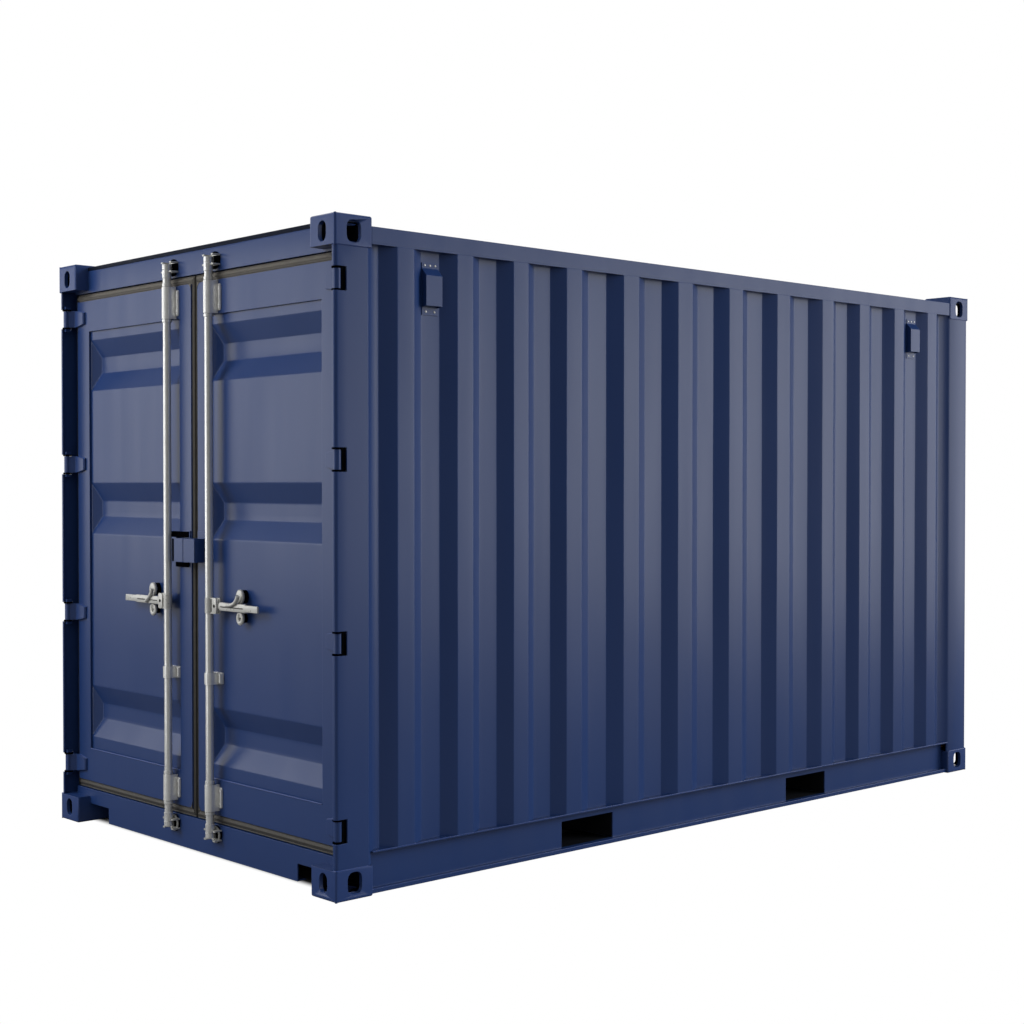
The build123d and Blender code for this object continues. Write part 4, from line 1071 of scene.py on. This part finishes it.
# Painted shade: the groove is a thin black plate, standing for the shade in it.
groove = plate(
    ((NECK_END + 12) * MM, (GRIP_START - 14) * MM), (HANDLE - 3 * MM, HANDLE + 1 * MM),
    (BAR_FRONT - 0.4 * MM, BAR_FRONT + 1 * MM), 1.5 * MM, 0.3 * MM,
)
both("handle_groove_shade", [groove], "lever", BLACK_SHADE)

# A short forged arm in front of each bar, through points across and above the bar in mm.
FINGERS = {
    "right": [(306, 8), (340, 10), (362, 18), (378, 32), (388, 50)],
    "left": [(-288, 48), (-294, 30), (-308, 14), (-324, 2), (-338, -8)],
}
FINGER_RADIUS, FINGER_PROUD = 8.5 * MM, 3
for side, skins in (("right", bar_skins), ("left", mirrored(bar_skins))):
    path = [(x, BAR_FRONT / MM - FINGER_PROUD, z + HANDLE / MM) for x, z in FINGERS[side]]
    arm = bead(np.array(path) * MM, FINGER_RADIUS, swell=0, ripple=16 * MM, sides=12)
    piece("handle_bar_" + side, skins + [skin(arm)], "lever_" + side, BRIGHT_ZINC, ["handle_" + side])

# %% Catches
REST_FRONT, PANEL_FACE = BAR_BACK + 1.5 * MM, DOOR_FACE + 10 * MM
LOBE_LEVEL, RING_LEVEL = HANDLE + 44 * MM, HANDLE - 43 * MM
LOBE, SEAL_RING, SEAL_BAR = mm(26, 31), mm(16, 20), mm(9.5, 8)
LOBE_FOOT, RING_FOOT = mm(22, 28), mm(14, 19)
DOME_RADIUS, DOME_HIGH = mm(15, 2.6)


def catch(x):
    """A handle's catch: a domed lobe above the bar, a seal ring under it and a foot on the door."""
    ring = looped(oval((x, RING_LEVEL), *SEAL_RING, 32), *SEAL_BAR)
    ring[..., 2] += REST_FRONT + SEAL_BAR[1]
    foot = about(x, 9 * MM), (HANDLE - 40 * MM, HANDLE + 56 * MM)
    return [
        slab(oval((x, LOBE_LEVEL), *LOBE), REST_FRONT, REST_FRONT + 14 * MM, 6 * MM),
        dome((x, REST_FRONT + 2 * MM, HANDLE + 48 * MM), DOME_RADIUS, DOME_HIGH, sides=20),
        skin(facing_doors(ring), round_trip=True),
        plate(*foot, (REST_FRONT + 4 * MM, REST_FRONT + 12 * MM), 4 * MM, 1 * MM),
    ]


def catch_feet(x):
    """The two stubs that carry a catch on the door, painted black as the shadow behind it."""
    stubs = oval((x, LOBE_LEVEL), *LOBE_FOOT), oval((x, RING_LEVEL), *RING_FOOT)
    depths = REST_FRONT + 12 * MM, PANEL_FACE
    return [slab(stub, *depths, 1 * MM) for stub in stubs]


for side, x in (("right", 373 * MM), ("left", -313 * MM)):
    door, rest = "door_" + side, ["handle_rest_" + side]
    piece("handle_catch_" + side, catch(x), door, BRIGHT_ZINC, rest)
    piece("catch_feet_" + side, catch_feet(x), door, BLACK_SHADE)

# %% [markdown]
# ## Small things on the doors
# A weld closes the foot of each pressed panel and shows as one thin light line. The hinge
# blades are welded on too, and black washers fill the slots beside them, painted black as the
# shade in the slots. The leaf's corners at the seam are rounded, and the rubber fills them.
# The lock box has black slots above and below it, where the lock's bar goes in, and a black
# groove at its end; these are painted shade.

# %% Panel welds and hinge welds
PIN_X, PIN_Y = mm(1058.5, -2123)
HINGES = np.array([265, 974.5, 1667.3, 2346.5]) * MM
BLADE_INNER, BLADE_OUTER = mm(44, 37.5), mm(111, 26)
weld_y, weld_z = DOOR_FACE + 0.5 * MM, panel_low[2] + 1 * MM
panel_weld = [(x, weld_y, weld_z) for x in (panel_low[0] + 3 * MM, panel_high[0] - 3 * MM)]
door_welds = [skin(bead(panel_weld, 3.2 * MM, swell=0.05))]
for level in HINGES:
    for way in (-1, 1):
        blade_edge = [
            (PIN_X - across, DOOR_FACE - 1 * MM, level + way * high)
            for across, high in (BLADE_INNER, BLADE_OUTER)
        ]
        door_welds.append(skin(bead(blade_edge, 2.6 * MM)))
both("door_weld", door_welds, "door", LIT_WELD_ENAMEL)

# %% Hinge washers
# Painted shade: the washers are black, standing for the shade in the hinge slots.
WASHER_RADIUS, WASHER_START, WASHER_END = mm(20, 38.6, 46)
washer_skins = [
    round_bar((PIN_X, PIN_Y, 0), WASHER_RADIUS, level + start, level + end, sides=28)
    for level in HINGES
    for start, end in ((WASHER_START, WASHER_END), (-WASHER_END, -WASHER_START))
]
both("hinge_washer", washer_skins, "container", BLACK_SHADE)

# %% Leaf corners
LEAF_ROUND = 26 * MM
arc = (on_circle(np.linspace(math.pi, math.pi / 2, 9)) + (1, -1)) * LEAF_ROUND
fillet = np.concatenate([[[0, 0]], arc])
depths = [DOOR_FACE - 1.5 * MM, DOOR_FACE + 1 * MM]
corner_skins = [
    skin(carried(1, fillet + (frame_low[0], frame_high[2]), depths)),
    skin(carried(1, fillet * (1, -1) + (frame_low[0], frame_low[2]), depths)),
]
both("leaf_corner", corner_skins, "door", RUBBER)

# %% Slots round the lock box, as places across and up in mm
SLOTS = (((-178, -38), (1347, 1372)), ((-142, -44), (1220, 1242)), ((-136, -112), (1240, 1350)))
GROOVE = np.array(((-87, -73), (1247, 1343))) * MM
box_front = box("lock_box_left")[0][1]
# Painted shade: the slots and the groove at the box's end are black plates standing for shade.
slot_skins = [
    plate(*np.array(slot) * MM, (DOOR_FACE - 8 * MM, DOOR_FACE), 3 * MM, 1 * MM)
    for slot in SLOTS
]
slot_skins.append(plate(*GROOVE, (box_front - 1 * MM, box_front + 2 * MM), 2 * MM, 0.8 * MM))
piece("lock_box_slot", slot_skins, "door_left", ("blue_paint", BLACK_SHADE[1]))

# %% [markdown]
# ## Welds and screws on the frame
# The frame is welded where posts meet castings and where the wall meets the rails. The beads
# are small, but each one is a thin lit line in an otherwise plain corner; their lighter blue
# coat is a painted highlight. The ventilators are held by pan-head screws, three above and two
# below.

# %% Frame welds
post_x, post_y = SIDE - FACE_SET, REAR - FACE_SET
CASTING_WELD, RAIL_TOP, LIP_FOOT, RUN = mm(118.5, 169, 21, 1972)
frame_welds = []
for level in (CASTING_WELD, HIGH[2] - CASTING_WELD):
    for end, inset, reach in ((-1, 18 * MM, 157 * MM), (1, 150 * MM, 165 * MM)):
        line = [
            (post_x - inset, end * post_y, level), (post_x - 2 * MM, end * post_y, level),
            (post_x, end * (post_y - 2 * MM), level), (post_x, end * (REAR - reach), level),
        ]
        frame_welds.append(skin(bead(line, 2.8 * MM)))
for x, z, size in ((post_x - 0.5 * MM, RAIL_TOP, 2.2 * MM), (SIDE - 15 * MM, LIP_FOOT, 2 * MM)):
    frame_welds.append(skin(bead([(x, -RUN, z), (x, RUN, z)], size)))
piece("frame_weld", frame_welds + mirrored(frame_welds), "container", LIT_WELD_ENAMEL)

# %% Ventilator screws
vent_low, vent_high = box("vents")
VENT_HALF, VENT_FACE = 41 * MM, SIDE - 37 * MM
SCREW_ROWS = (((-27, 0, 27), vent_high[2] - 10 * MM), ((-22, 22), vent_low[2] + 14 * MM))
vent_y = vent_high[1] - VENT_HALF
screw_skins = [
    dome((VENT_FACE, y + across * MM, level), 5 * MM, 3 * MM, 0, 1)
    for y in (-vent_y, vent_y) for row, level in SCREW_ROWS for across in row
]
piece("vent_screw", screw_skins + mirrored(screw_skins), "container", ZINC)

# %% [markdown]
# ## Camera
# The view is the photograph's: from the right of the door end, at eye height, with the far
# corner of the doors to the left. The place and the lens were worked out from the container's
# own corners, which stand at known places in the frame.

# %% Camera
CAMERA_PLACE = (6.058, -5.827, 1.576)
CAMERA_YAW, CAMERA_PITCH = 47.402, -0.981
LENS_MM, SENSOR_MM = 57.89, 36.0
lens = bpy.data.cameras.new("camera")
lens.lens, lens.sensor_width, lens.clip_end = LENS_MM, SENSOR_MM, 100
camera = placed("camera", lens)
print("lens:", LENS_MM, "mm, from", CAMERA_PLACE)
camera.location = CAMERA_PLACE
camera.rotation_euler = (math.radians(90 + CAMERA_PITCH), 0, math.radians(CAMERA_YAW))
bpy.context.scene.camera = camera

# %% [markdown]
# ## Studio light
# Dark satin paint shows the studio more than its own colour. One long soft box stands where
# the right wall mirrors it into the lens and one where the doors do, so the flats turn slate
# blue near the top and fade to navy at the foot, while slopes that face elsewhere stay dark.
# The world gives an even, plain light to everything and a white backdrop.

# %% Lamps
def soft_box(name, place, target, wide, tall, radiance):
    """An even rectangular lamp. A lamp's power is its radiance times its area times pi."""
    light = bpy.data.lights.new(name, "AREA")
    light.shape, light.size, light.size_y = "RECTANGLE", wide, tall
    light.energy = radiance * wide * tall * math.pi
    made = placed(name, light)
    print(name, "power:", round(light.energy, 1))
    away = np.array(target) - np.array(place)
    made.location = place
    made.rotation_euler = (
        math.acos(-away[2] / np.linalg.norm(away)), 0, math.atan2(away[1], away[0]) - math.pi / 2
    )
    return made


# %% Two soft boxes, two fills and a card
soft_box("soft_box_right_wall", (5.4, 5.2, 2.25), (1.4, 1.1, 2.25), 7.0, 3.8, 2.1)
soft_box("soft_box_doors", (-6.3, -6.9, 2.35), (0.0, -2.15, 1.3), 4.2, 3.4, 2.0)
door_fill = soft_box("fill_on_doors", (-3.0, -7.6, 5.0), (0.0, -2.15, 1.3), 4.0, 4.0, 8.8)
door_fill.visible_glossy = False
card = soft_box("white_card_before_doors", (-0.85, -5.1, 2.25), (-0.85, -2.1, 2.25), 1.2, 4.5, 1.5)
card.visible_camera = card.visible_diffuse = False
window = bpy.data.lights.new("fill_along_right_wall", "SUN")
window.energy, window.angle = 1.9, math.radians(30)
wall_fill = placed("fill_along_right_wall", window)
wall_fill.rotation_euler = (math.radians(70), 0, math.radians(50 + 90))
wall_fill.visible_glossy = False

# %% World
world = bpy.data.worlds.new("studio")
bpy.context.scene.world = world
world.use_nodes = True
sky = world.node_tree
sky.nodes.clear()
rays = add(sky, "LightPath").outputs
direction = add(sky, "TexCoord").outputs["Generated"]
height = add(sky, "SeparateXYZ", {}, {0: direction}).outputs[2]
even = add(sky, "MapRange", {1: -0.6, 2: 0.9, 3: 0.45, 4: 0.7}, {0: height})


def glow_from(way, edge, full, least, most):
    """A soft patch of light around one direction of the sky, by the cosine of the angle to it."""
    facing = add(sky, "VectorMath", {"operation": "DOT_PRODUCT", 1: way}, {0: direction})
    reach = {1: edge, 2: full, 3: least, 4: most}
    return add(sky, "MapRange", reach, {0: facing.outputs["Value"]})


# %% What each kind of ray sees
backdrop = glow_from((-0.819, 0.574, 0.0), 0.53, 0.75, 0.0, 1.6)
camera_side = glow_from((0.669, -0.743, 0.0), 0.866, 0.978, 0.02, 0.1)
studio = add(sky, "Math", {"operation": "MAXIMUM"}, {0: backdrop, 1: camera_side})
through = {0: rays["Is Camera Ray"], 1: rays["Is Transmission Ray"]}
seen = add(sky, "Math", {"operation": "MAXIMUM"}, through)
unseen = {0: rays["Is Glossy Ray"], 2: even, 3: studio}
mirrored_or_even = add(sky, "Mix", {"data_type": "FLOAT"}, unseen)
strength = add(sky, "Mix", {"data_type": "FLOAT", 3: 1.0}, {0: seen, 2: mirrored_or_even})
shine = add(sky, "Background", {"Color": "#FFFFFF"}, {"Strength": strength})
add(sky, "OutputWorld", {}, {"Surface": shine})

# %% [markdown]
# ## Floor
# The floor is a sheet of pale paper. The camera sees it pure white, but for the shade right
# under the container, and the mirrors and lamps see it grey.

# %% Floor
FLOOR_HALF = 30.0
PAPER, WHITE = "#6C6C6C", "#FFFFFF"
SHADE = {"interpolation_type": "SMOOTHSTEP", 1: -0.13, 2: -0.07}
floor_mesh = bpy.data.meshes.new("studio_floor")
corners = np.array([[-1, -1, 0], [1, -1, 0], [1, 1, 0], [-1, 1, 0]]) * FLOOR_HALF
floor_mesh.from_pydata(corners, [], [[0, 1, 2, 3]])
floor = placed("studio_floor", floor_mesh)
paper, tree, where = blank("white_paper_floor")
from_camera = add(tree, "LightPath").outputs["Is Camera Ray"]
size = add(tree, "VectorMath", {"operation": "ABSOLUTE"}, {0: where})
beyond = add(tree, "VectorMath", {"operation": "SUBTRACT", 1: (SIDE, REAR, 0.0)}, {0: size})
across, along, _ = add(tree, "SeparateXYZ", {}, {0: beyond}).outputs
outside = add(tree, "Math", {"operation": "MAXIMUM"}, {0: across, 1: along})
clear = add(tree, "MapRange", SHADE, {0: outside})
white_out = add(tree, "Math", {"operation": "MULTIPLY"}, {0: from_camera, 1: clear})
matt = add(tree, "BsdfDiffuse", {"Color": PAPER})
glow = add(tree, "Emission", {"Color": WHITE, "Strength": 1.0})
surface = add(tree, "MixShader", {}, {0: white_out, 1: matt, 2: glow})
add(tree, "OutputMaterial", {}, {"Surface": surface})
floor_mesh.materials.append(paper)

# %% View settings
bpy.context.scene.view_settings.view_transform = "Standard"
